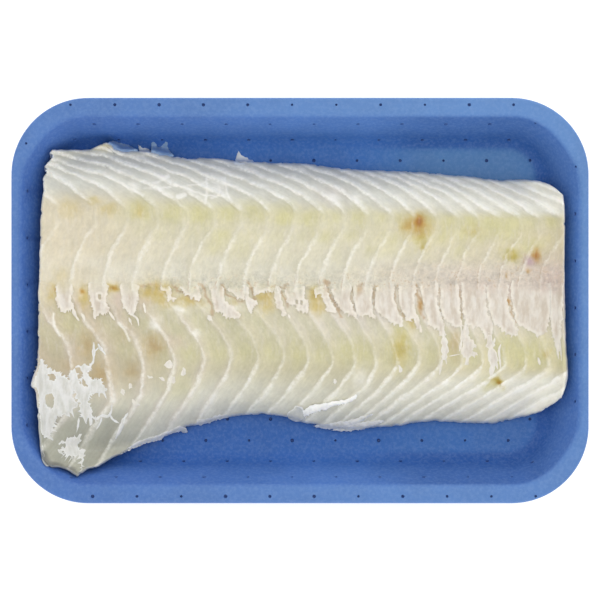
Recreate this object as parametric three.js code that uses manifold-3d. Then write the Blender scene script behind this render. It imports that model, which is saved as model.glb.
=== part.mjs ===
// A raw white fish fillet on a shallow blue foam tray, in millimetres, +Z up.
// The origin is the centre of the tray's footprint, on the surface that it stands on.
// +X runs along the tray from the fillet's thick end to its tail end, and +Y across to the back.

import * as THREE from "three";
import { mergeVertices } from "three/addons/utils/BufferGeometryUtils.js";
import Module from "manifold-3d";

const wasm = await Module();
wasm.setup();

// Tray: outline of the rim, foam thickness and where the walls stand
const TRAY_LENGTH = 210;
const TRAY_WIDTH = 147.5;
const TRAY_HEIGHT = 25;
const RIM_CORNER_RADIUS = 28;
const FLOOR_Z = 3.8;
const RIM_LIP_Z = 21.4;
const WALL_TOP_INSET = 6.4;
const WALL_FOOT_INSET = 15.2;
const OUTER_WALL_TOP_INSET = 4;
const OUTER_WALL_FOOT_INSET = 12.9;
const CORNER_STEPS = 10;
const BEND_STEPS = 4;

// Pin holes in the tray's upper skin: staggered rows along it, and a column up each end
const HOLE_RADIUS = 0.55;
const HOLE_DEPTH = 1;
const HOLE_SIDES = 5;
const HOLE_EDGE_MARGIN = 1.1;
const HOLE_PITCH = 16.1;
const HOLE_ROW_START = -2.9;
const WALL_ROW_INSETS = [2.6, 9.2, 14.2];
const FLOOR_ROW_INSET = 21.6;
const FLOOR_ROWS = 14;
const ROW_REACH = 95;
const END_COLUMNS = [
  { x: -99.5, y: 55.8, holes: 7 },
  { x: 100.3, y: 48.1, holes: 6 },
];
const END_COLUMN_PITCH = 17.1;

// Fillet: thickness at its crown, at its long edges and where it climbs the end walls
const CROWN_THICKNESS = 18;
const TAIL_THINNING = 3;
const EDGE_THICKNESS = 2.5;
const REST_GAP = 0.3;
const DRAPE_INSET = 30;
const DRAPE_HEIGHT = 5.8;
const DRAPE_CURVE = 0.039;
const DRAPE_BLEND = 1.6;

// Lines that run along the fillet: its y every 25 mm from x = -100 to x = 100
const LEVEL_START = -100;
const LEVEL_PITCH = 25;
const EDGE_MARGIN = 1;
const BACK_EDGE = [54, 57.5, 55, 52, 50.5, 48, 47, 44.5, 42];
const BACK_RIDGE = [34.5, 34.5, 33.5, 32, 31.5, 31, 30.5, 30, 30];
const MIDLINE = [4.5, 4, 3.5, 3, 3, 3.5, 4, 4, 4];
const FRONT_RIDGE = [-18.5, -20, -20.5, -21, -21.5, -22, -22.5, -23.5, -24];
const FRONT_EDGE = [-69, -62.5, -50.5, -43, -45.5, -47, -44.5, -43.5, -38];

// Muscle flakes: their length along the fillet shrinks towards the tail
const FIRST_FLAKE_X = -104;
const LAST_FLAKE_X = 132;
const FLAKE_LENGTH = 12;
const FLAKE_SHRINK = 0.019;
const FLAKE_PARTS = [0, 0.5, 0.93];
const ROWS = 40;
const TURN_RADIUS = 2;
const MID_SHIFT = -12;
const FRONT_SHIFT = 3.3;
const BACK_SLANT = 0.5;
const BACK_SWEEP = 0.054;
const FRONT_SLANT_THICK_END = 0.62;
const FRONT_SLANT_TAIL_END = 1.5;

// Relief: how far each flake laps over the next, and the ledge of torn tongues at the midline
const OUTER_LAP = 0.6;
const BACK_LAP = 0.4;
const FRONT_LAP = 0.8;
const TONGUE_DROP = 0.9;
const GROOVE_DEPTH = 1;

// Outline of the fillet, seen from above, as four sides that meet at its corners
const BACK_SIDE = [
  [-91.5, 54.5], [-81.5, 56], [-71.5, 58], [-65.5, 56], [-55.5, 55.5], [-43.5, 52.5],
  [-31.5, 52.5], [-14, 51], [1.5, 50.5], [18.5, 48.5], [42.5, 47.5], [60, 46],
  [74, 44.5], [85, 44.5], [92, 42.5], [96, 38.5],
];
const TAIL_SIDE = [[96, 38.5], [96.5, 33], [96.5, 7.5], [97, -16], [97.5, -28.5], [95.5, -35.5]];
const FRONT_SIDE = [
  [95.5, -35.5], [89, -41], [80, -43.5], [68.5, -45.5], [48.5, -44.5], [33.5, -46.5],
  [15.5, -47.5], [2, -45], [-4, -43], [-18.5, -42], [-31.5, -44], [-35.5, -45.5],
  [-42.5, -47], [-52, -51], [-64, -55.5], [-74, -60], [-80, -64],
];
const THICK_SIDE = [
  [-80, -64], [-85.5, -61.5], [-92, -58.5], [-94.5, -49.5], [-96, -37.5], [-97.5, -29.5],
  [-96, -23.5], [-95.5, 0], [-95, 14], [-94.5, 34.5], [-93.5, 45.5], [-90.5, 51.5], [-91.5, 54.5],
];
const OUTLINE_STEP = 2.4;
const FRAY = 0.35;

const { lerp, smoothstep, clamp } = THREE.MathUtils;

// A number from 0 to 1 that looks random and is the same each time for the same n.
function scatter(n) {
  const x = Math.sin(n * 127.1 + 3.7) * 43758.5453;
  return x - Math.floor(x);
}

// The height at x of a smooth curve through values that stand LEVEL_PITCH apart.
function levelAt(values, x) {
  const last = values.length - 1;
  const place = (x - LEVEL_START) / LEVEL_PITCH;
  const i = clamp(Math.floor(place), 0, last - 1);
  const t = place - i;
  const slopeAt = (j) => (values[Math.min(j + 1, last)] - values[Math.max(j - 1, 0)]) / 2;
  const [a, b] = [values[i], values[i + 1]];
  const [p, q] = [slopeAt(i), slopeAt(i + 1)];
  const cubic = 2 * a - 2 * b + p + q;
  const square = 3 * b - 3 * a - 2 * p - q;
  return t < 0 ? a + p * t : t > 1 ? b + q * (t - 1) : ((cubic * t + square) * t + p) * t + a;
}

function solidFrom(vertProperties, triVerts) {
  return new wasm.Manifold(
    new wasm.Mesh({
      numProp: 3,
      vertProperties: new Float32Array(vertProperties),
      triVerts: new Uint32Array(triVerts),
    }),
  );
}

function solidFromGeometry(geometry) {
  const bare = new THREE.BufferGeometry();
  bare.setAttribute("position", geometry.getAttribute("position"));
  if (geometry.index) bare.setIndex(geometry.index);
  const merged = mergeVertices(bare, 1e-4);
  return solidFrom(merged.attributes.position.array, merged.index.array);
}

function geometryFrom(solid) {
  const mesh = solid.getMesh();
  const geometry = new THREE.BufferGeometry();
  geometry.setAttribute("position", new THREE.BufferAttribute(mesh.vertProperties, 3));
  geometry.setIndex(new THREE.BufferAttribute(mesh.triVerts, 1));
  geometry.computeVertexNormals();
  return geometry;
}

// A polyline through [inset, z] corners, each rounded off with its own radius.
function roundedProfile(corners) {
  const path = new THREE.Path();
  corners.forEach(([inset, z, radius], i) => {
    const corner = new THREE.Vector2(inset, z);
    const towards = (j) => {
      const other = new THREE.Vector2(corners[j][0], corners[j][1]);
      return other.sub(corner).setLength(radius).add(corner);
    };
    if (i === 0) path.moveTo(inset, z);
    else if (!radius) path.lineTo(inset, z);
    else {
      const [from, to] = [towards(i - 1), towards(i + 1)];
      path.lineTo(from.x, from.y);
      path.quadraticCurveTo(inset, z, to.x, to.y);
    }
  });
  return path.getPoints(BEND_STEPS);
}

// Points of a rounded rectangle that lies inset from the rim's outline.
function insetRing(inset) {
  const radius = Math.max(RIM_CORNER_RADIUS - inset, 4);
  const halfLength = TRAY_LENGTH / 2 - inset - radius;
  const halfWidth = TRAY_WIDTH / 2 - inset - radius;
  const points = [];
  for (let corner = 0; corner < 4; corner++) {
    const sideX = corner === 0 || corner === 3 ? 1 : -1;
    const sideY = corner < 2 ? 1 : -1;
    for (let step = 0; step <= CORNER_STEPS; step++) {
      const angle = (Math.PI / 2) * (corner + step / CORNER_STEPS);
      points.push([
        sideX * halfLength + radius * Math.cos(angle),
        sideY * halfWidth + radius * Math.sin(angle),
      ]);
    }
  }
  return points;
}

// A closed solid whose wall follows the profile round the tray, with flat ends.
function loftRound(profile) {
  const vertices = [];
  const triangles = [];
  const count = insetRing(0).length;
  for (const { x: inset, y: z } of profile) {
    for (const [x, y] of insetRing(inset)) vertices.push(x, y, z);
  }
  const lowCentre = vertices.length / 3;
  vertices.push(0, 0, profile[0].y);
  vertices.push(0, 0, profile[profile.length - 1].y);
  const lastRing = (profile.length - 1) * count;
  for (let i = 0; i < count; i++) {
    const next = (i + 1) % count;
    for (let ring = 0; ring < lastRing; ring += count) {
      triangles.push(ring + i, ring + next, ring + count + next);
      triangles.push(ring + i, ring + count + next, ring + count + i);
    }
    triangles.push(lowCentre, next, i);
    triangles.push(lowCentre + 1, lastRing + i, lastRing + next);
  }
  return solidFrom(vertices, triangles);
}

// Inner side of the tray, from the rim's crest down to the floor, moved inwards by gap.
function innerCorners(gap) {
  return [
    [WALL_TOP_INSET + gap, TRAY_HEIGHT, 2.5],
    [WALL_FOOT_INSET + gap, FLOOR_Z + gap, 5.5],
    [WALL_FOOT_INSET + 8, FLOOR_Z + gap, 0],
  ];
}

// Section through the tray's wall, from under the floor round the rim to the floor's upper side
function trayProfile() {
  return roundedProfile([
    [OUTER_WALL_FOOT_INSET + 8, 0, 0],
    [OUTER_WALL_FOOT_INSET, 0, 5],
    [OUTER_WALL_TOP_INSET, RIM_LIP_Z, 1.6],
    [0, RIM_LIP_Z, 0.7],
    [0, TRAY_HEIGHT, 1.3],
    ...innerCorners(0),
  ]);
}

const TRAY_PROFILE = trayProfile();

// The space inside the tray that the fillet may fill, a small gap clear of the foam.
function trayRoom() {
  const [crest, foot, floorEnd] = innerCorners(REST_GAP);
  const corners = [floorEnd, foot, [crest[0], crest[1], 0], [crest[0], 3 * TRAY_HEIGHT, 0]];
  return loftRound(roundedProfile(corners));
}

// Distance of a point inwards from the rim's outline.
function insetOf(x, y) {
  const radius = RIM_CORNER_RADIUS;
  const beyondX = Math.abs(x) - (TRAY_LENGTH / 2 - radius);
  const beyondY = Math.abs(y) - (TRAY_WIDTH / 2 - radius);
  const outside = Math.hypot(Math.max(beyondX, 0), Math.max(beyondY, 0));
  return radius - outside - Math.min(Math.max(beyondX, beyondY), 0);
}

// Height of the tray's upper skin at a distance from the rim's outline.
function skinHeight(inset) {
  let height = FLOOR_Z;
  TRAY_PROFILE.slice(1).forEach((end, i) => {
    const start = TRAY_PROFILE[i];
    const part = (inset - start.x) / (end.x - start.x);
    if (part >= 0 && part <= 1) height = Math.max(height, lerp(start.y, end.y, part));
  });
  return height;
}

// Whether a closed outline of points goes round the point (x, y).
function surrounds(outline, x, y) {
  let crossings = 0;
  outline.forEach((a, i) => {
    const b = outline[(i + 1) % outline.length];
    const between = a.y > y !== b.y > y;
    if (between && x < lerp(a.x, b.x, (y - a.y) / (b.y - a.y))) crossings += 1;
  });
  return crossings % 2 === 1;
}

// Where the pin holes are, seen from above.
function holePlaces() {
  const wallRows = WALL_ROW_INSETS.map((inset) => TRAY_WIDTH / 2 - inset);
  const floorReach = TRAY_WIDTH / 2 - FLOOR_ROW_INSET;
  const floorRows = Array.from({ length: FLOOR_ROWS }, (_, row) =>
    lerp(floorReach, -floorReach, row / (FLOOR_ROWS - 1)),
  );
  const rows = [...wallRows, ...floorRows, ...wallRows.map((y) => -y).reverse()];
  const columns = Math.floor(ROW_REACH / HOLE_PITCH);
  const places = [];
  rows.forEach((y, row) => {
    const first = HOLE_ROW_START + (row % 2) * (HOLE_PITCH / 2);
    for (let column = -columns; column <= columns; column++) {
      places.push(new THREE.Vector2(first + column * HOLE_PITCH, y));
    }
  });
  for (const { x, y, holes } of END_COLUMNS) {
    for (let hole = 0; hole < holes; hole++) places.push(new THREE.Vector2(x, y - hole * END_COLUMN_PITCH));
  }
  return places;
}

// The tray with each pin hole that the fillet leaves uncovered.
function traySolid() {
  const peg = new THREE.ConeGeometry(2 * HOLE_RADIUS, 2 * HOLE_DEPTH, HOLE_SIDES);
  peg.rotateX(-Math.PI / 2);
  const covered = filletOutline();
  let tray = loftRound(TRAY_PROFILE);
  for (const { x, y } of holePlaces()) {
    const inset = insetOf(x, y);
    if (inset < HOLE_EDGE_MARGIN || surrounds(covered, x, y)) continue;
    tray = tray.subtract(solidFromGeometry(peg.clone().translate(x, y, skinHeight(inset))));
  }
  return tray;
}

// Crosswise place on the fillet: 2 at the back edge, 1 and -1 on the two lines where the
// flakes turn, 0 on the midline and -2 at the front edge.
function crosswise(x) {
  return [
    levelAt(BACK_EDGE, x) + EDGE_MARGIN,
    levelAt(BACK_RIDGE, x),
    levelAt(MIDLINE, x),
    levelAt(FRONT_RIDGE, x),
    levelAt(FRONT_EDGE, x) - EDGE_MARGIN,
  ];
}

function yAcross(x, v) {
  const lines = crosswise(x);
  const i = clamp(Math.floor(2 - v), 0, 3);
  return lerp(lines[i], lines[i + 1], 2 - v - i);
}

// How far a flake's boundary lies along x from where it crosses the back ridge line. Seen
// from above the boundary runs like a 3, with its turns on the ridge lines and the midline.
function flakeShift(x, v) {
  const swing = (q) => Math.pow(Math.sin((Math.PI / 2) * q), 1.2);
  const bend = (d) => Math.hypot(d, TURN_RADIUS) - TURN_RADIUS;
  if (v > 1) {
    const d = bend(yAcross(x, v) - levelAt(BACK_RIDGE, x));
    return -BACK_SLANT * d - BACK_SWEEP * d * d;
  }
  if (v > 0) return MID_SHIFT * swing(1 - v);
  if (v > -1) return lerp(MID_SHIFT, FRONT_SHIFT, swing(-v));
  const slant = lerp(FRONT_SLANT_THICK_END, FRONT_SLANT_TAIL_END, smoothstep(x, -30, 80));
  return FRONT_SHIFT - slant * bend(levelAt(FRONT_RIDGE, x) - yAcross(x, v));
}

// Each flake rises towards the tail and laps over the next one, less so near the long edges.
function lapHeight(part, v) {
  const lap = Math.abs(v) > 1 ? OUTER_LAP : v > 0 ? BACK_LAP : FRONT_LAP;
  return lap * (1 - smoothstep(Math.abs(v), 1.2, 1.9)) * part;
}

// The back half ends in torn tongues that hang over the front half at the midline.
function tongueDrop(flake, part, v) {
  const reach = 0.08 + (0.3 * scatter(flake) + 0.3 * smoothstep(flake, 6, 20)) * Math.sin(Math.PI * part);
  const overhang = smoothstep(-reach - v, 0, 0.2);
  return TONGUE_DROP * overhang * (1 - smoothstep(-v, 0.8, 1.6));
}

// Upper face of the fillet before its relief: a low crown that climbs the tray's walls.
function crownHeight(x, y, v) {
  const across = Math.pow(1 - Math.pow(Math.min(Math.abs(v) / 2, 1), 2.6), 0.75);
  const groove = GROOVE_DEPTH * Math.exp(-Math.pow(v / 0.3, 2));
  const thickness = CROWN_THICKNESS - TAIL_THINNING * smoothstep(x, 0, 90);
  const lying = FLOOR_Z + lerp(EDGE_THICKNESS, thickness, across) - groove;
  const rise = Math.max(DRAPE_INSET - insetOf(x, y), 0);
  const draped = DRAPE_HEIGHT + DRAPE_CURVE * rise * rise;
  const blend = Math.log1p(Math.exp(-Math.abs(lying - draped) / DRAPE_BLEND));
  return Math.max(lying, draped) + DRAPE_BLEND * blend;
}

// A long slab of flesh with the flakes' relief on it. Its columns follow the flakes.
function flakedSlab() {
  const columns = [];
  let length = FLAKE_LENGTH;
  let flake = 0;
  for (let start = FIRST_FLAKE_X; start < LAST_FLAKE_X; start += length) {
    length = (FLAKE_LENGTH - FLAKE_SHRINK * (start - FIRST_FLAKE_X)) * (0.92 + 0.16 * scatter(flake));
    for (const part of FLAKE_PARTS) columns.push({ x: start + part * length, flake, part });
    flake += 1;
  }
  const vertices = [];
  for (const top of [true, false]) {
    for (const { x: ridgeX, flake: index, part } of columns) {
      for (let row = 0; row <= ROWS; row++) {
        const v = 2 - (4 * row) / ROWS;
        const x = ridgeX + flakeShift(ridgeX, v);
        const y = yAcross(x, v);
        const relief = lapHeight(part, v) - tongueDrop(index, part, v);
        vertices.push(x, y, top ? crownHeight(x, y, v) + relief : 0);
      }
    }
  }
  return solidFrom(vertices, boxGridTriangles(vertices, columns.length, ROWS + 1));
}

// Triangles of a slab whose upper and lower faces are grids of the same size. Each cell is
// split along its shorter diagonal, seen from above.
function boxGridTriangles(vertices, columns, rows) {
  const triangles = [];
  const at = (column, row, low) => column * rows + row + (low ? columns * rows : 0);
  const placeOf = (a) => new THREE.Vector2(vertices[3 * a], vertices[3 * a + 1]);
  const gap = (a, b) => placeOf(a).distanceTo(placeOf(b));
  const quad = (a, b, c, d) => {
    if (gap(a, c) < gap(b, d)) triangles.push(a, b, c, a, c, d);
    else triangles.push(b, c, d, b, d, a);
  };
  for (let i = 0; i + 1 < columns; i++) {
    for (let j = 0; j + 1 < rows; j++) {
      quad(at(i, j), at(i, j + 1), at(i + 1, j + 1), at(i + 1, j));
      quad(at(i, j, true), at(i + 1, j, true), at(i + 1, j + 1, true), at(i, j + 1, true));
    }
    quad(at(i, 0), at(i + 1, 0), at(i + 1, 0, true), at(i, 0, true));
    quad(at(i, rows - 1, true), at(i + 1, rows - 1, true), at(i + 1, rows - 1), at(i, rows - 1));
  }
  for (let j = 0; j + 1 < rows; j++) {
    quad(at(0, j, true), at(0, j + 1, true), at(0, j + 1), at(0, j));
    quad(at(columns - 1, j), at(columns - 1, j + 1), at(columns - 1, j + 1, true), at(columns - 1, j, true));
  }
  return triangles;
}

// The fillet's outline, seen from above, with a slightly frayed edge.
function filletOutline() {
  const points = [];
  for (const side of [BACK_SIDE, TAIL_SIDE, FRONT_SIDE, THICK_SIDE]) {
    const curve = new THREE.CatmullRomCurve3(side.map(([x, y]) => new THREE.Vector3(x, y, 0)));
    const steps = Math.round(curve.getLength() / OUTLINE_STEP);
    for (let step = 0; step < steps; step++) {
      const along = curve.getTangentAt(step / steps);
      const outwards = new THREE.Vector3(-along.y, along.x, 0);
      const fray = step === 0 ? 0 : FRAY * (2 * scatter(points.length) - 1);
      const point = curve.getPointAt(step / steps).addScaledVector(outwards, fray);
      points.push(new THREE.Vector2(point.x, point.y));
    }
  }
  return points;
}

function filletSolid() {
  const shape = new THREE.Shape(filletOutline());
  const cutter = new THREE.ExtrudeGeometry(shape, { depth: 3 * TRAY_HEIGHT, bevelEnabled: false });
  return flakedSlab().intersect(solidFromGeometry(cutter)).intersect(trayRoom());
}

function namedMesh(name, solid, material) {
  const mesh = new THREE.Mesh(geometryFrom(solid), new THREE.MeshStandardMaterial(material));
  mesh.name = name;
  return mesh;
}

const filletOnTray = new THREE.Group();
filletOnTray.add(
  namedMesh("tray", traySolid(), { color: 0x5686c6, roughness: 0.55, metalness: 0 }),
  namedMesh("fillet", filletSolid(), { color: 0xe6dfc8, roughness: 0.35, metalness: 0 }),
);

export default filletOnTray;
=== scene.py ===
import math

import bpy
import numpy as np
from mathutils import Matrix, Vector
from mathutils.geometry import delaunay_2d_cdt
from mathutils.kdtree import KDTree


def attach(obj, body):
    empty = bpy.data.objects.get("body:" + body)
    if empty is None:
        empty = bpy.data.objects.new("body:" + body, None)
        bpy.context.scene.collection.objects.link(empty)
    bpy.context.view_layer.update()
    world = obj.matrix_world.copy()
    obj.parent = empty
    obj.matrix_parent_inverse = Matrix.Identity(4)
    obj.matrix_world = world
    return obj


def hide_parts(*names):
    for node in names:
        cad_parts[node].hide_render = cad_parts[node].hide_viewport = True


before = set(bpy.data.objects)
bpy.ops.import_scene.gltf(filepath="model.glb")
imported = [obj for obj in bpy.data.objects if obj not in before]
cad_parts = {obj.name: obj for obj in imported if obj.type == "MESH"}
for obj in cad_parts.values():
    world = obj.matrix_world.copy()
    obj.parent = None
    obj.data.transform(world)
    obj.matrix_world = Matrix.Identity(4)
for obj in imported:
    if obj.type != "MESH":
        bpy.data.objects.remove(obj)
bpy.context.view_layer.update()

# The looks of a raw white fish fillet on a blue foam tray. The form functions work in
# millimetres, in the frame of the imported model; make_piece turns them into metres.
MM = 0.001

# What the noise's scattered numbers are made with
SCATTER = 43758.5453
SCATTER_COLUMN = 127.1
SCATTER_ROW = 311.7
SCATTER_SEED = 74.7

# Camera: straight above, at a height where the rim fills the picture as in the photograph
CAMERA_HEIGHT = 0.85
CAMERA_Y = 0.0002
SENSOR_WIDTH = 36
PICTURE_WIDTH_AT_RIM = 217.98
CAMERA_CLIP = 0.01

# Tray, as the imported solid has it
TRAY_LENGTH = 210
TRAY_WIDTH = 147.5
TRAY_HEIGHT = 25
RIM_CORNER_RADIUS = 28
FLOOR_Z = 3.8
RIM_LIP_Z = 21.4
WALL_TOP_INSET = 6.4
WALL_FOOT_INSET = 15.2
OUTER_WALL_TOP_INSET = 4
OUTER_WALL_FOOT_INSET = 12.9
# The inner face of the end walls is steeper: where along x it has the profile of the other walls
END_WALL_X = [-105, -103.5, -102.3, -89.8, 0, 89.8, 102.3, 103.5, 105]
OTHER_WALL_X = [-105, -101, -98.6, -89.8, 0, 89.8, 98.6, 101, 105]
END_WALL_HALF = 40
END_WALL_FADE = 62
# Mesh of the tray
FLAT_BY_THE_FOOT = 8
WALL_ROUNDS = 12
CORNER_STEPS = 28
BEND_STEPS = 9
SIDE_STEP = 9.8
SMALLEST_CORNER = 4
TRAY_SHARP_ANGLE = 38

# Pin holes in the tray's upper skin: each ring of a peg has its share of the hole's radius and its height
HOLE_RADIUS = 0.6
HOLE_SIZES = (0.75, 1.25)
PEG_RINGS = [(1.7, 0.7), (0.85, -0.25), (0.6, -0.75)]
HOLE_SIDES = 12
SKIN_PROBE = 0.2
SKIN_TOLERANCE = 1.5
SAME_POINT = 0.01
HOLE_EDGE_MARGIN = 1.1
HOLE_PITCH = 16.1
HOLE_ROW_START = -2.9
WALL_ROW_INSETS = [2.6, 9.2, 14.2]
FLOOR_ROW_INSET = 21.6
FLOOR_ROWS = 14
ROW_REACH = 95
END_COLUMNS = [(-99.5, 57.1, 7), (100.3, 48.7, 6)]
END_COLUMN_PITCH = 17.1

# The painted shadow in the gap beside the fillet's ends: where along x it sets in, where it fades
# upwards and to the sides, and how dark it is at the tail end
GAP_X = (91, 96)
GAP_Z = (19, 24.5)
GAP_Y = (48, 68)
GAP_AT_TAIL = 0.6

# Fillet: thickness, and how it climbs the tray's end walls
CROWN_THICKNESS = 18
CROWN_POWERS = (2.6, 0.75)
TAIL_THINNING = 3
EDGE_THICKNESS = 2.5
REST_GAP = 0.3
DRAPE_INSET = 30
DRAPE_HEIGHT = 5.8
DRAPE_CURVE = 0.039
DRAPE_BLEND = 1.6
HIGHEST_DRAPE = 21
GROOVE_DEPTH = 1
GROOVE_REACH = 0.3
CURVE_STEPS = 24
OUTLINE_STEPS = 60

# Lines that run along the fillet: their y every 25 mm from x = -100 to x = 100
LEVEL_START = -100
LEVEL_PITCH = 25
EDGE_MARGIN = 1
BACK_EDGE = [54, 57.5, 55, 52, 50.5, 48, 47, 44.5, 42]
BACK_RIDGE = [34.5, 34.5, 33.5, 32, 31.5, 31, 30.5, 30, 30]
MIDLINE = [4.5, 4, 3.5, 3, 3, 3.5, 4, 4, 4]
FRONT_RIDGE = [-18.5, -20, -20.5, -21, -21.5, -22, -22.5, -23.5, -24]
FRONT_EDGE = [-69, -62.5, -50.5, -43, -45.5, -47, -44.5, -43.5, -38]

# Outline of the fillet, seen from above, as four sides that meet at its corners
BACK_SIDE = [
    (-90.7, 55.1), (-83.9, 55.6), (-77.9, 55.8), (-75.7, 56.5), (-73.8, 57.4), (-71.5, 58), (-69.7, 57.4),
    (-68.4, 56), (-66.5, 55.3), (-63.8, 55.1), (-55.5, 55), (-43.5, 52.6), (-31.5, 52.5), (-14, 51),
    (1.5, 50.5), (18.5, 48.5), (42.5, 47.5), (60, 46), (74, 44.5), (85, 44.5), (92, 42.5), (96, 38.5),
]
TAIL_SIDE = [(96, 38.5), (96.5, 33), (96.5, 7.5), (97, -16), (97.5, -28.5), (95.5, -35.5)]
FRONT_SIDE = [
    (95.5, -35.5), (89, -41), (80, -43.5), (68.5, -45.5), (48.5, -44.5), (33.5, -46.5), (15.5, -47.5),
    (2, -45), (-4, -43), (-18.5, -42), (-31.5, -44), (-35.5, -45.5), (-42.5, -47), (-52, -51), (-59, -53),
    (-65, -56), (-70, -58.5), (-75, -61), (-78.5, -62), (-81.3, -64),
]
THICK_SIDE = [
    (-81.3, -64), (-85, -61.8), (-88, -60.7), (-92, -60), (-93.5, -58), (-94.5, -54), (-95.2, -48),
    (-96, -38), (-96.5, -32.5), (-98, -31.2), (-97.5, -28.5), (-95.8, -24), (-95.5, -12), (-95.5, 0),
    (-95, 14), (-94.5, 34.5), (-93.7, 40.3), (-93.9, 42.1), (-94.1, 44.8), (-92.9, 46.9), (-93.7, 47.7),
    (-93.1, 48.3), (-93.6, 49), (-92.1, 50.9), (-90.6, 53.3), (-91.6, 53.8), (-90.7, 55.1),
]

# Muscle flakes: where the first starts, and how their length shrinks towards the tail
FIRST_FLAKE_X = -103.5
LAST_FLAKE_X = 140
LONGEST_FLAKE = 13.4
FLAKE_SHRINK = 0.053
FLAKE_SHRINK_FROM = -90
SHORTEST_FLAKE = 7.9
FLAKE_ROUNDS = 8
TURN_RADIUS = 2
SWING_POWER = 1.2
MID_SHIFT = -12
FRONT_SHIFT = 3.3
BACK_SLANT = 0.5
BACK_SWEEP = 0.054
FRONT_SLANT_THICK_END = 0.62
FRONT_SLANT_TAIL_END = 1.5
# How far the flakes stray from those curves: a row for each place across, a column every 25 mm
DRIFT_PLACES = [2.0, 1.76, 1.2, 0.8, 0.0, -0.5, -1.0, -1.4, -1.8, -2.0]
DRIFT = [
    [-9, -12, -22, -19, -15, -7, -5, -11, -12],
    [-5, -8, -16.5, -14, -11, -4.5, -3, -8, -9],
    [-2, -3.5, -4.2, -4.5, -1.7, -1, 0, -2.5, -3],
    [3, 4, 2, -0.3, 0.8, 2.5, 4.5, 4.5, 4],
    [3, 4, 2, 0, 0.8, 3, 5, 5, 4],
    [0, 0, 0, 0, 0, 0, 0, 0, 0],
    [2, 1, 2, 0.5, 0, 0, 0, 0, 0],
    [13, 12.5, 5.5, 1.2, 0, 4, 1, 0, 0],
    [13, 12, 5, 1, -1, 4, 1.5, -2, -2],
    [13, 12, 5, 1, -1, 4, 1.5, -2, -3],
]

# Relief
OUTER_LAP = 0.32
BACK_LAP = 0.07
FRONT_LAP = 0.2
LAP_RISE = 2.0
CREST_PLACES = [-1.95, -1.3, -1.1, -0.9, -0.2, 0, 0.4, 0.65, 0.82, 1, 1.12, 1.3, 1.8, 2]
CREST_STRENGTHS = [0.6, 0.95, 0.7, 0.22, 0.22, 0.36, 0.5, 0.42, 0.1, 0.06, 0.6, 1, 0.95, 0.5]
CREST_HEIGHT = 0.18
THREAD_HEIGHT = 0.12
FIBRE_HEIGHT = 0.07
SWELL_HEIGHT = 0.22
PIT_HEIGHT = 0.04
SEAM_DROP = 0.5
SLOPE_REACH = 0.5
SEAM_ABOVE_MIDLINE = 1.5
SEAM_WANDER = 0.8
THICK_END_RISE = 0.8

# Mesh of the fillet
GRID_COLUMNS = 400
GRID_ROWS = 232
UNDERSIDE_STRIDE = 8
EDGE_ROUND = 1.3
# How far each ring below the rim lies outside it, and at what share of the rim's height
RIM_RINGS = [(0.3, 0.6), (0.1, 0.25), (-0.9, 0)]
RIM_SMOOTHING = 3
FRAY_REACH = 3
BACK_FRAY = 0.2
TAIL_FRAY = 0.08
FRONT_FRAY = 0.3
THICK_FRAY = 0.15
NICK_DEPTH = 0.35
FRAY_LENGTH = 2.4
NICK_LENGTH = 1.3

# Mesh of the thin films and strands that lie on the fillet
FILM_STEP = 0.24
FILM_PITCH = 0.55
FILM_THICKNESS = 0.3
FILM_JITTER = 0.3
FILM_INNER_DEPTH = 0.3
FILM_OFF_TRAY = 0.2
FILM_SUNK = 0.25
FILM_RIPPLE = 0.08
TUCK_DEPTH = 0.7
RIM_WIDTH = 0.45
RIM_DROP = 0.16
TOOTH_PITCH = 0.75
FILM_SHARP_ANGLE = 60
# A film's lift says what it is: tucked under the flesh, rooted in the seam, or stiff past the edge
TUCKED_BELOW = 0.1
ROOTED_BELOW = 0.2
STIFF_ABOVE = 0.28
# Where a film comes to rest on the fillet, in mm inside its outline
STIFF_REACH = (-2.8, -0.4)
LIMP_REACH = (-1.2, 0.8)

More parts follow.
